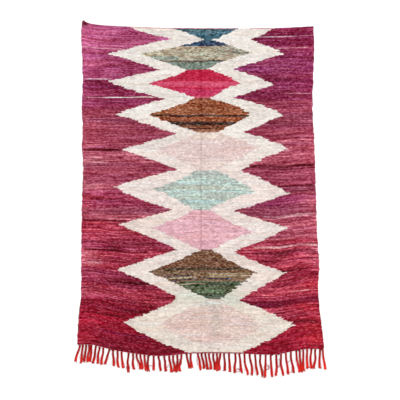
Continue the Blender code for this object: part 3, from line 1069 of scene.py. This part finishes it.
def weft_places(weft, number):
    """The xs of a row's rings, and how each stands over (1) or under (-1) its warp."""
    cuts = row_cuts[number]
    first, last = cuts[weft.first], cuts[weft.last]
    if weft.first == 0:
        first = math.floor(cuts[0] / WARP_PITCH + TURN_ROOM)
    if weft.last == LAST_CUT:
        last = math.ceil(cuts[LAST_CUT] / WARP_PITCH - TURN_ROOM)
    warps = np.arange(first, last)
    low = cuts[0] if weft.first == 0 else (first - JOIN_OVERLAP) * WARP_PITCH
    high = cuts[LAST_CUT] if weft.last == LAST_CUT else (last + JOIN_OVERLAP) * WARP_PITCH
    xs = np.concatenate([[low], (warps + 0.5) * WARP_PITCH, [high]])
    over = np.concatenate([[0.0], np.where((warps + number) % 2 == 0, 1.0, -1.0), [0.0]])
    return xs, over


def weft_yarn(weft, look_up, number):
    """One row of one weft, as a yarn."""
    xs, over = weft_places(weft, number)
    low, high = row_y(row_edges[number], xs), row_y(row_edges[number + 1], xs)
    slub = 1.0 + SLUB * mottle(xs, number, SLUB_MOTTLE, weft.seed + 5)
    half = WEFT_HALF_SHARE * (high - low) * slub
    outermost = number in (0, ROW_COUNT - 1)
    if outermost:
        half = np.minimum(half, (high - low) / 2)
    tall = WEFT_HALF_HEIGHT * slub
    middle = (low + high) / 2
    for place, at_selvedge, side in ((0, weft.first == 0, 0), (-1, weft.last == LAST_CUT, 1)):
        if at_selvedge and not outermost:
            lean = 1.0 if (number + side) % 2 == 0 else -1.0
            middle[place] += lean * TURN_LEAN * (high[place] - low[place])
        shrink = TURN_SHRINK if at_selvedge else JOIN_SHRINK
        half[place] *= shrink
        tall[place] *= shrink
    centre = middle_height(xs, middle)
    top = centre + WEFT_WAVE * over + tall
    bottom = np.maximum(centre + WEFT_WAVE * over - tall, LEAST_HEIGHT)
    rings = np.stack(
        [
            np.stack([xs, middle + half, centre], axis=-1),
            np.stack([xs, middle, top], axis=-1),
            np.stack([xs, middle - half, centre], axis=-1),
            np.stack([xs, middle, bottom], axis=-1),
        ],
        axis=1,
    )
    return Yarn(rings, row_colours(weft, look_up, number, xs))


print("warps in the middle row", round(CLOTH_WIDTH / WARP_PITCH))

# %% [markdown]
# Now the rows are laid, weft by weft. Around a yarn its upper faces get most of its strip of
# the UV map, because they are what shows.

# %% All the weft rows
WEFT_AROUND = (0.0, 0.35, 0.70, 0.85, 1.0)

weft_pieces = {}
for weft in WEFTS:
    look_up = band_lookup(weft.bands, weft.softness)
    yarns = [weft_yarn(weft, look_up, number) for number in range(ROW_COUNT)]
    weft_pieces[weft.name] = yarn_mesh(weft.name, yarns, WEFT_AROUND)

# %% [markdown]
# The warp locks. The frame has 56 of them, grown out of the heading, and their middle lines
# are read from it. Corners of the mesh that are joined by a face are linked, and a walk from
# the heading outwards meets each lock's sections one after another. The two corners of a
# section that lie on the floor give its width.

# %% The middle lines of the locks
HEADING_REACH = 0.0085
Lock = namedtuple("Lock", "line half_widths")


def linked_corners(node):
    """The different corners of a node's mesh, and for each the corners it shares a face with."""
    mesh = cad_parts[node].data
    places = np.round(mesh_points(node), PLACE_DIGITS)
    corners, same = np.unique(places, axis=0, return_inverse=True)
    same = same.ravel()
    links = [set() for _ in corners]
    for polygon in mesh.polygons:
        found = [int(same[index]) for index in polygon.vertices]
        if max(corners[index][2] for index in found) > ON_FLOOR:
            for index in found:
                links[index].update(found)
    return corners, links


def joined_corners(start, links, heading):
    """All the corners of the lock that has this one."""
    own, waiting = {start}, [start]
    while waiting:
        fresh = links[waiting.pop()] - own - heading
        own |= fresh
        waiting.extend(fresh)
    return own


def read_locks():
    """Every lock of the frame, from left to right."""
    corners, links = linked_corners("fringe")
    back = corners[:, 1] > hem_y(corners[:, 0]) - HEADING_REACH
    heading = set(np.flatnonzero(back).tolist())
    found = []
    seen = set(heading)
    for start in range(len(corners)):
        if start in seen:
            continue
        own = joined_corners(start, links, heading)
        seen |= own
        section = {index for index in heading if links[index] & own}
        line, half_widths = [], []
        met = set(heading)
        while section:
            places = corners[sorted(section)]
            feet = places[places[:, 2] < ON_FLOOR]
            line.append(places[:, :2].mean(axis=0))
            half_widths.append(float(np.ptp(feet[:, 0])) / 2)
            met |= section
            section = {other for index in section for other in links[index] & own} - met
        found.append(Lock(np.array(line), np.array(half_widths)))
    return sorted(found, key=lambda lock: lock.line[0][0])


locks = read_locks()
print("locks", len(locks), "sections", {len(lock.line) for lock in locks})

# %% [markdown]
# A thick yarn is a tube round a line in space. Its rings stand square to the line, and no
# corner goes below the floor, so that a yarn flattens where it lies on it. The same helper
# makes plies, fibres, threads, curls, cords and knots. A second one gives a yarn one dye,
# darker or lighter by its tone.

# %% Yarns along a line
LEAST_LIFT = 0.00015


def unit(rows):
    return rows / np.linalg.norm(rows, axis=1, keepdims=True)


def laid_yarn(xs, ys, heights, radius, sides, colours):
    """A yarn of rings with this many sides, along the line through these places."""
    points = np.column_stack(np.broadcast_arrays(xs, ys, heights))
    radii = np.broadcast_to(radius, len(points))
    direction = unit(np.gradient(points, axis=0))
    side = unit(np.cross((0.0, 0.0, 1.0), direction))
    upward = np.cross(direction, side)
    turn = math.tau * np.arange(sides) / sides
    out = np.cos(turn)[None, :, None] * side[:, None, :]
    out = out + np.sin(turn)[None, :, None] * upward[:, None, :]
    rings = points[:, None, :] + radii[:, None, None] * out
    rings[:, :, 2] = np.maximum(rings[:, :, 2], LEAST_LIFT)
    return Yarn(rings, colours)


def dyed(dye_name, tone):
    """One dye for each ring of a yarn, by the ring's tone."""
    return linear(dye_name) * np.exp(tone)[:, None]


def even_around(sides):
    return np.linspace(0.0, 1.0, sides + 1)


print("a coral yarn's colour", np.round(dyed("coral", np.zeros(1))[0], 3))

# %% [markdown]
# Each lock is three plies laid round each other, which is what warp does when it is knotted
# off and let go. A ply winds round the lock's middle line in a flat helix, because the lock
# rests on the floor and is wider than it is tall. Towards the tip the plies thin out, and
# their dark red turns brighter.

# %% The plied locks
PLY_COUNT = 3
PLY_STEPS = 26
PLY_SIDES = 5
PLY_PITCH = 0.027
PLY_REACH = 0.90
PLY_OFFSET_ACROSS = 1.05
PLY_RADIUS_SHARE = 0.92
PLY_THINNING = ((0.0, 0.75, PLY_REACH), (1.0, 0.95, 0.55))
PLY_LIFT = 0.0046
PLY_OFFSET_UP = 0.0010
PLY_TONES = (-0.12, 0.12)
LOCK_TONES = (-0.22, 0.18)
BRIGHTER_ON_THE_RIGHT = ((0.5, 0.65), (0.0, 0.2))
RIPE_GAIN = 1.15
RIPE_POWER = 1.4

fringe_draw = np.random.default_rng(41)


def along_lock(lock, shares):
    """(points, half widths, sideways directions) of a lock at these shares of its length."""
    steps = np.linalg.norm(np.diff(lock.line, axis=0), axis=1)
    gone = np.concatenate([[0.0], np.cumsum(steps)]) / steps.sum()
    points = np.stack([np.interp(shares, gone, lock.line[:, axis]) for axis in (0, 1)], axis=-1)
    points[1:-1] = (points[:-2] + 2.0 * points[1:-1] + points[2:]) / 4
    run = unit(np.gradient(points, axis=0))
    sideways = np.stack([-run[:, 1], run[:, 0]], axis=-1)
    return points, np.interp(shares, gone, lock.half_widths), sideways


def lock_colours(shares, tone):
    """From the dark root to the bright tip of a lock."""
    ripe = np.clip(shares * RIPE_GAIN, 0.0, 1.0)[:, None] ** RIPE_POWER
    mixed = linear("root_red") * (1.0 - ripe) + linear("tip_red") * ripe
    return mixed * np.exp(tone)


def lock_plies(lock, tone):
    """The three twisted plies of one lock."""
    shares = np.linspace(0.0, PLY_REACH, PLY_STEPS)
    points, half, sideways = along_lock(lock, shares)
    length = float(np.linalg.norm(np.diff(lock.line, axis=0), axis=1).sum())
    radii = PLY_RADIUS_SHARE * half * np.interp(shares, *PLY_THINNING)
    start = fringe_draw.uniform(0.0, math.tau)
    made = []
    for ply in range(PLY_COUNT):
        turn = start + math.tau * (shares * length / PLY_PITCH + ply / PLY_COUNT)
        across = PLY_OFFSET_ACROSS * half * np.cos(turn)
        flat = points + sideways * across[:, None]
        height = np.maximum(PLY_LIFT + PLY_OFFSET_UP * np.sin(turn), radii + LEAST_LIFT)
        colours = lock_colours(shares, tone + fringe_draw.uniform(*PLY_TONES))
        made.append(laid_yarn(flat[:, 0], flat[:, 1], height, radii, PLY_SIDES, colours))
    return made


lock_xs = np.array([lock.line[0][0] for lock in locks])
lock_tones = fringe_draw.uniform(*LOCK_TONES, len(locks))
lock_tones = lock_tones + np.interp(lock_xs, *BRIGHTER_ON_THE_RIGHT)
ply_yarns = [yarn for lock, tone in zip(locks, lock_tones) for yarn in lock_plies(lock, tone)]
warp_locks = yarn_mesh("warp_locks", ply_yarns, even_around(PLY_SIDES), lanes=3)

# %% [markdown]
# The tips have opened into single fibres, which spread like a small brush and curl, and a
# thin thread has come away from most of the locks. Both are thin yarns of three sides. A
# fibre leaves its lock near the tip and runs out to a place of its own across the lock's
# end. A random number generator with a fixed seed gives every fibre its place, so that the
# rug is the same on each run.

# %% The frayed tips and loose threads
FRAY_SIDES = 3
FIBRE_COUNT = 26
FIBRE_STEPS = 8
FIBRE_STARTS = (0.62, 0.90)
FIBRE_RADIUS = 0.0012
FIBRE_THINNING = ((0.0, 0.7, 1.0), (1.0, 0.9, 0.4))
FIBRE_INSIDE = 0.7
FIBRE_SPREAD = 0.0092
FIBRE_OPENING = 1.5
FIBRE_CURL = 0.0070
FIBRE_ENDS = (-0.018, 0.001)
FIBRE_LIFTS = (0.002, 0.005)
FIBRE_TONES = (-0.25, 0.15)
THREAD_SHARE = 0.9
THREAD_STEPS = 14
THREAD_START = 0.02
THREAD_ENDS = (0.7, 1.0)
THREAD_RADIUS = 0.0007
THREAD_SWAY = 0.018
THREAD_WAVE = 0.005
THREAD_TURNS = (4.0, 9.0)
THREAD_PHASES = (0.0, 6.0)
FLOOR_LIFT = 0.0012


def lock_fibres(lock, tone):
    """The loose fibres at the end of one lock."""
    made = []
    gone = np.linspace(0.0, 1.0, FIBRE_STEPS)
    for _ in range(FIBRE_COUNT):
        shares = np.linspace(fringe_draw.uniform(*FIBRE_STARTS), 1.0, FIBRE_STEPS)
        points, half, sideways = along_lock(lock, shares)
        place = fringe_draw.uniform(-1.0, 1.0)
        opening = FIBRE_SPREAD * gone**FIBRE_OPENING
        across = place * (half * FIBRE_INSIDE * (1.0 - gone) + opening)
        across = across + FIBRE_CURL * fringe_draw.uniform(-1.0, 1.0) * gone**2
        flat = points + sideways * across[:, None]
        run = unit(np.gradient(points, axis=0))
        flat = flat + run * (fringe_draw.uniform(*FIBRE_ENDS) * gone**2)[:, None]
        height = np.interp(gone, (0.0, 1.0), (fringe_draw.uniform(*FIBRE_LIFTS), FLOOR_LIFT))
        radii = FIBRE_RADIUS * np.interp(gone, *FIBRE_THINNING)
        colours = lock_colours(shares, tone + fringe_draw.uniform(*FIBRE_TONES))
        made.append(laid_yarn(flat[:, 0], flat[:, 1], height, radii, FRAY_SIDES, colours))
    return made


def loose_thread(lock, tone):
    """A thin thread that has come away from a lock and lies beside it."""
    shares = np.linspace(THREAD_START, fringe_draw.uniform(*THREAD_ENDS), THREAD_STEPS)
    points, _, sideways = along_lock(lock, shares)
    gone = np.linspace(0.0, 1.0, THREAD_STEPS)
    sway = fringe_draw.uniform(-1.0, 1.0) * THREAD_SWAY * gone
    turn = gone * fringe_draw.uniform(*THREAD_TURNS) + fringe_draw.uniform(*THREAD_PHASES)
    flat = points + sideways * (sway + THREAD_WAVE * np.sin(turn))[:, None]
    faded = dyed("coral", np.full(THREAD_STEPS, tone))
    return laid_yarn(flat[:, 0], flat[:, 1], FLOOR_LIFT, THREAD_RADIUS, FRAY_SIDES, faded)


fibre_yarns = []
for lock, tone in zip(locks, lock_tones):
    fibre_yarns.extend(lock_fibres(lock, tone))
    if fringe_draw.uniform() < THREAD_SHARE:
        fibre_yarns.append(loose_thread(lock, tone))
print("fibres and threads", len(fibre_yarns))

# %% [markdown]
# A few yarns have sprung open into curls that lie over the locks. A table places each one:
# its middle, how far it reaches to the side and along, how many turns it makes, and where in
# a turn it starts. A curl tightens towards its end, as a twisted yarn does.

# %% The curls
CURL_STEPS = 36
CURL_RADIUS = 0.0018
CURL_LIFT = 0.0098
CURL_WAVE = 0.0006
CURL_TIGHTENS_ACROSS = 0.25
CURL_TIGHTENS_ALONG = 0.15

Curl = namedtuple("Curl", "x height reach_x reach_y turns start")
CURLS = (
    Curl(-0.457, -0.101, 0.014, 0.012, 1.2, 0.10),
    Curl(-0.310, -0.090, 0.015, 0.004, 0.6, 0.00),
    Curl(-0.206, -0.077, 0.012, 0.024, 0.7, 0.30),
    Curl(-0.126, -0.066, 0.016, 0.022, 1.5, 0.60),
    Curl(-0.008, -0.052, 0.007, 0.032, 0.6, 0.20),
    Curl(0.250, -0.117, 0.015, 0.011, 1.4, 0.00),
    Curl(0.435, -0.097, 0.018, 0.017, 1.4, 0.80),
    Curl(0.513, -0.066, 0.010, 0.034, 0.8, 0.40),
    Curl(0.585, -0.095, 0.021, 0.040, 0.9, 0.25),
    Curl(0.710, -0.071, 0.007, 0.032, 0.6, 0.70),
)

gone = np.linspace(0.0, 1.0, CURL_STEPS)
for curl in CURLS:
    turn = math.tau * (curl.start + curl.turns * gone)
    xs = curl.x + curl.reach_x * np.cos(turn) * (1.0 - CURL_TIGHTENS_ACROSS * gone)
    along = curl.reach_y * np.sin(turn) * (1.0 - CURL_TIGHTENS_ALONG * gone)
    heights = CURL_LIFT + CURL_WAVE * np.sin(2.0 * turn)
    colours = dyed("scarlet", np.zeros(CURL_STEPS))
    ys = HEM_Y + curl.height + along
    fibre_yarns.append(laid_yarn(xs, ys, heights, CURL_RADIUS, FRAY_SIDES, colours))
frayed_tips = yarn_mesh("frayed_tips", fibre_yarns, even_around(FRAY_SIDES), lanes=6)

# %% [markdown]
# Between the weft and the locks runs the heading, a pair of cords twined round each other
# and round the warps, which keeps the weft from sliding off. It is made as the plies are, in
# one long helix of two strands that follows the hem. Here and there its end was tied off in a
# dark knot, which is a short coil lying on its side.

# %% The twined heading
HEADING_STRANDS = 2
HEADING_PITCH = 0.012
HEADING_STEP = 0.0016
HEADING_SIDES = 5
HEADING_RADIUS = 0.0024
HEADING_OFFSET = 0.0015
HEADING_LIFT = 0.0038
HEADING_BACK = 0.0028
HEADING_INSET = 0.002
HEADING_SQUASH = 0.8
HEADING_SLUB = 0.12
HEADING_TONE = 0.25
HEADING_SLUB_MOTTLE = Mottle(0.020, 1.0)
HEADING_TONE_MOTTLE = Mottle(0.015, 1.0)
HEADING_SEED = 71

heading_ends = (hem_line[0, 0] + HEADING_INSET, hem_line[-1, 0] - HEADING_INSET)
heading_xs = np.arange(*heading_ends, HEADING_STEP)
heading_yarns = []
for strand in range(HEADING_STRANDS):
    turn = math.tau * (heading_xs / HEADING_PITCH + strand / HEADING_STRANDS)
    ys = hem_y(heading_xs) - HEADING_BACK + HEADING_OFFSET * np.cos(turn)
    heights = HEADING_LIFT + HEADING_SQUASH * HEADING_OFFSET * np.sin(turn)
    slub = mottle(heading_xs, strand, HEADING_SLUB_MOTTLE, HEADING_SEED)
    tone = mottle(heading_xs, strand, HEADING_TONE_MOTTLE, HEADING_SEED + 1)
    radii = HEADING_RADIUS * (1.0 + HEADING_SLUB * slub)
    colours = dyed("garnet", HEADING_TONE * tone)
    heading_yarns.append(laid_yarn(heading_xs, ys, heights, radii, HEADING_SIDES, colours))
print("heading strands", len(heading_yarns), "of", len(heading_xs), "rings")

# %% The knots of the heading
KNOT_XS = (-0.560, -0.318, 0.020, 0.472, 0.512, 0.626, 0.640, 0.724, 0.786)
KNOT_TURNS = 2.6
KNOT_STEPS = 26
KNOT_RADIUS = 0.0018
KNOT_WIDTH = 0.0048
KNOT_ENDS = 0.6
KNOT_LENGTH = 0.0050
KNOT_SQUASH = 0.6
KNOT_LIFT = 0.0054
KNOT_BACK = 0.0072

gone = np.linspace(0.0, 1.0, KNOT_STEPS)
turn = math.tau * KNOT_TURNS * gone
knot_width = KNOT_WIDTH * (KNOT_ENDS + (1.0 - KNOT_ENDS) * np.sin(math.pi * gone))
for knot_x in KNOT_XS:
    xs = knot_x + knot_width * np.cos(turn)
    ys = hem_y(knot_x) - KNOT_BACK + KNOT_LENGTH * (gone - 0.5)
    heights = KNOT_LIFT + KNOT_SQUASH * knot_width * np.sin(turn)
    colours = dyed("oxblood", np.zeros(KNOT_STEPS))
    heading_yarns.append(laid_yarn(xs, ys, heights, KNOT_RADIUS, HEADING_SIDES, colours))
heading_cord = yarn_mesh("heading_cord", heading_yarns, even_around(HEADING_SIDES))

# %% [markdown]
# At the plain end a pinkish red yarn is whipped along the last row over parts of its width,
# and a tuft of dark yarn ends stands out at the left corner, where the weaver tied off.

# %% The finishing yarn and the corner tuft
FINISH_STRETCHES = ((-0.444, 0.251), (0.328, 0.477))
FINISH_STEP = 0.004
FINISH_RADIUS = 0.0016
FINISH_SLUB = 0.2
FINISH_TONE = 0.2
FINISH_INSET = 0.0012
FINISH_WANDER = 0.0008
FINISH_LIFT = 0.0022
FINISH_MOTTLE = Mottle(0.020, 1.0)
FINISH_SLUB_MOTTLE = Mottle(0.015, 1.0)
FINISH_SEED = 81
TUFT_COUNT = 9
TUFT_STEPS = 7
TUFT_AIMS = (1.7, 2.6)
TUFT_LENGTH = 0.013
TUFT_SHARES = (0.5, 1.0)
TUFT_STARTS = (0.003, 0.012)
TUFT_INSET = 0.006
TUFT_LIFT = 0.0045
TUFT_ARCH = 0.002
TUFT_CURL = 0.003
TUFT_CURL_TURN = 3.0
TUFT_RADIUS = 0.0011
TUFT_THINNING = ((0.0, 0.8, 1.0), (1.0, 0.9, 0.4))
TUFT_DARK = math.log(0.6)

finish_draw = np.random.default_rng(53)
finish_yarns = []
for x_from, x_to in FINISH_STRETCHES:
    xs = np.arange(x_from, x_to, FINISH_STEP)
    ys = end_y(xs) - FINISH_INSET + FINISH_WANDER * mottle(xs, 0, FINISH_MOTTLE, FINISH_SEED)
    heights = middle_height(xs, ys) + FINISH_LIFT
    colours = dyed("coral", FINISH_TONE * mottle(xs, 1, FINISH_MOTTLE, FINISH_SEED + 1))
    slub = mottle(xs, 2, FINISH_SLUB_MOTTLE, FINISH_SEED + 2)
    radii = FINISH_RADIUS * (1.0 + FINISH_SLUB * slub)
    finish_yarns.append(laid_yarn(xs, ys, heights, radii, PLY_SIDES, colours))

corner_x, corner_y = end_line[0]
gone = np.linspace(0.0, 1.0, TUFT_STEPS)
for _ in range(TUFT_COUNT):
    aim = finish_draw.uniform(*TUFT_AIMS)
    reach = TUFT_LENGTH * finish_draw.uniform(*TUFT_SHARES) * gone
    start_x = corner_x + finish_draw.uniform(*TUFT_STARTS)
    xs = start_x + reach * math.cos(aim) + TUFT_CURL * np.sin(TUFT_CURL_TURN * gone)
    ys = corner_y - TUFT_INSET + reach * math.sin(aim)
    heights = TUFT_LIFT + TUFT_ARCH * np.sin(math.pi * gone)
    radii = TUFT_RADIUS * np.interp(gone, *TUFT_THINNING)
    colours = dyed("wine", np.full(TUFT_STEPS, TUFT_DARK))
    finish_yarns.append(laid_yarn(xs, ys, heights, radii, PLY_SIDES, colours))
finish_yarn = yarn_mesh("finishing_yarn", finish_yarns, even_around(PLY_SIDES))

# %% [markdown]
# Wool looks soft because its fibres scatter light at grazing angles and cast tiny shadows on
# each other. So every wool here has the same parts: the yarn's dye, read from the mesh; a
# fine noise for single fibres, which lightens and darkens it; diagonal ridges for the twist
# of its plies, as bump; a roughness that varies from fibre to fibre; and a little sheen. The
# wools differ in how strong their twist, fibre contrast and sheen are.

# %% The wools
FIBRE_SCALE = 520.0
FIBRE_DETAIL = 3.0
FIBRE_FINENESS = 0.6
FLECK_SCALE = 210.0
FLECK_DETAIL = 2.0
FLECK_EDGE = (0.56, 0.74)
TWIST_SCALE = 95.0
TWIST_DISTORTION = 2.5
TWIST_DETAIL = 1.0
LEAST_ROUGHNESS = 0.78
BUMP_STRENGTH = 0.55
BUMP_DISTANCE = 0.0005
SHINE = 0.03
SHEEN_ROUGHNESS = 0.55

Wool = namedtuple("Wool", "name fleck_colour fleck contrast twist sheen")
WOOLS = (
    Wool("field_wool", (0.66, 0.16, 0.24), 0.05, 0.26, 0.45, 0.02),
    Wool("cream_wool", (0.90, 0.86, 0.78), 0.20, 0.08, 0.35, 0.03),
    Wool("diamond_wool", (0.72, 0.68, 0.62), 0.05, 0.16, 0.45, 0.02),
    Wool("warp_wool", (0.78, 0.06, 0.04), 0.10, 0.20, 0.60, 0.01),
)


def added(tree, kind, **values):
    """A new node of this kind, with these values on its sockets."""
    node = tree.nodes.new(kind)
    for socket, value in values.items():
        node.inputs[socket.replace("_", " ")].default_value = value
    return node


def make_wool(wool):
    """A fuzzy wool whose colour is the mesh's dye attribute."""
    material = bpy.data.materials.new(wool.name)
    material.use_nodes = True
    tree = material.node_tree
    link = tree.links.new
    shader = tree.nodes["Principled BSDF"]
    place = added(tree, "ShaderNodeTexCoord").outputs["Object"]
    dye = added(tree, "ShaderNodeAttribute")
    dye.attribute_name = "dye"
    fibres = added(
        tree,
        "ShaderNodeTexNoise",
        Scale=FIBRE_SCALE,
        Detail=FIBRE_DETAIL,
        Roughness=FIBRE_FINENESS,
    )
    flecks = added(tree, "ShaderNodeTexNoise", Scale=FLECK_SCALE, Detail=FLECK_DETAIL)
    twist = added(
        tree,
        "ShaderNodeTexWave",
        Scale=TWIST_SCALE,
        Distortion=TWIST_DISTORTION,
        Detail=TWIST_DETAIL,
    )
    twist.wave_type = "BANDS"
    twist.bands_direction = "DIAGONAL"
    for texture in (fibres, flecks, twist):
        link(place, texture.inputs["Vector"])

    cover = added(
        tree,
        "ShaderNodeMapRange",
        From_Min=FLECK_EDGE[0],
        From_Max=FLECK_EDGE[1],
        To_Max=wool.fleck,
    )
    link(flecks.outputs["Fac"], cover.inputs["Value"])
    flecked = tree.nodes.new("ShaderNodeMix")
    flecked.data_type = "RGBA"
    link(cover.outputs["Result"], flecked.inputs["Factor"])
    link(dye.outputs["Color"], flecked.inputs["A"])
    fleck_colour = [DYE_GAIN * value for value in wool.fleck_colour]
    flecked.inputs["B"].default_value = (*fleck_colour, 1.0)
    least, most = 1.0 - wool.contrast, 1.0 + wool.contrast
    tone = added(tree, "ShaderNodeMapRange", To_Min=least, To_Max=most)
    link(fibres.outputs["Fac"], tone.inputs["Value"])
    toned = tree.nodes.new("ShaderNodeVectorMath")
    toned.operation = "SCALE"
    link(flecked.outputs["Result"], toned.inputs[0])
    link(tone.outputs["Result"], toned.inputs["Scale"])
    link(toned.outputs["Vector"], shader.inputs["Base Color"])

    rough = added(tree, "ShaderNodeMapRange", To_Min=LEAST_ROUGHNESS, To_Max=1.0)
    link(fibres.outputs["Fac"], rough.inputs["Value"])
    link(rough.outputs["Result"], shader.inputs["Roughness"])
    ridges = tree.nodes.new("ShaderNodeMath")
    ridges.operation = "MULTIPLY_ADD"
    ridges.inputs[1].default_value = wool.twist
    link(twist.outputs["Fac"], ridges.inputs[0])
    link(fibres.outputs["Fac"], ridges.inputs[2])
    bump = added(tree, "ShaderNodeBump", Strength=BUMP_STRENGTH, Distance=BUMP_DISTANCE)
    link(ridges.outputs["Value"], bump.inputs["Height"])
    link(bump.outputs["Normal"], shader.inputs["Normal"])
    shader.inputs["Specular IOR Level"].default_value = SHINE
    shader.inputs["Sheen Weight"].default_value = wool.sheen
    shader.inputs["Sheen Roughness"].default_value = SHEEN_ROUGHNESS
    return material


wools = {wool.name: make_wool(wool) for wool in WOOLS}
print("wools", list(wools))

# %% [markdown]
# The warp ground has no yarns of its own to carry a colour, so each of its points is given
# the dye of the warp, darkened as painted shade for the gaps between rows. Then every piece
# gets its wool and rides on the rug's one body. The cloth's solid is replaced by the warp
# ground and the weft on it, and the fringe's solid by the locks.

# %% The finishes and the frame
# Painted shade: the warp's dye is darkened where it shows in the gaps between rows.
WARP_PAINTED_SHADE = 0.55

ground_dye = ground.data.color_attributes.new("dye", "FLOAT_COLOR", "POINT")
warp_colour_with_painted_shade = (*(linear("root_red") * WARP_PAINTED_SHADE), 1.0)
ground_dye.data.foreach_set("color", list(warp_colour_with_painted_shade) * len(ground.data.vertices))

FINISHES = (
    (ground, "warp_wool"),
    (weft_pieces["weft_field_left"], "field_wool"),
    (weft_pieces["weft_cream_left"], "cream_wool"),
    (weft_pieces["weft_diamonds"], "diamond_wool"),
    (weft_pieces["weft_cream_right"], "cream_wool"),
    (weft_pieces["weft_field_right"], "field_wool"),
    (warp_locks, "warp_wool"),
    (frayed_tips, "warp_wool"),
    (heading_cord, "warp_wool"),
    (finish_yarn, "field_wool"),
)
for piece, finish in FINISHES:
    piece.data.materials.clear()
    piece.data.materials.append(wools[finish])
    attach(piece, BODY)
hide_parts("cloth")
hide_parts("fringe")
print("pieces", len(FINISHES))
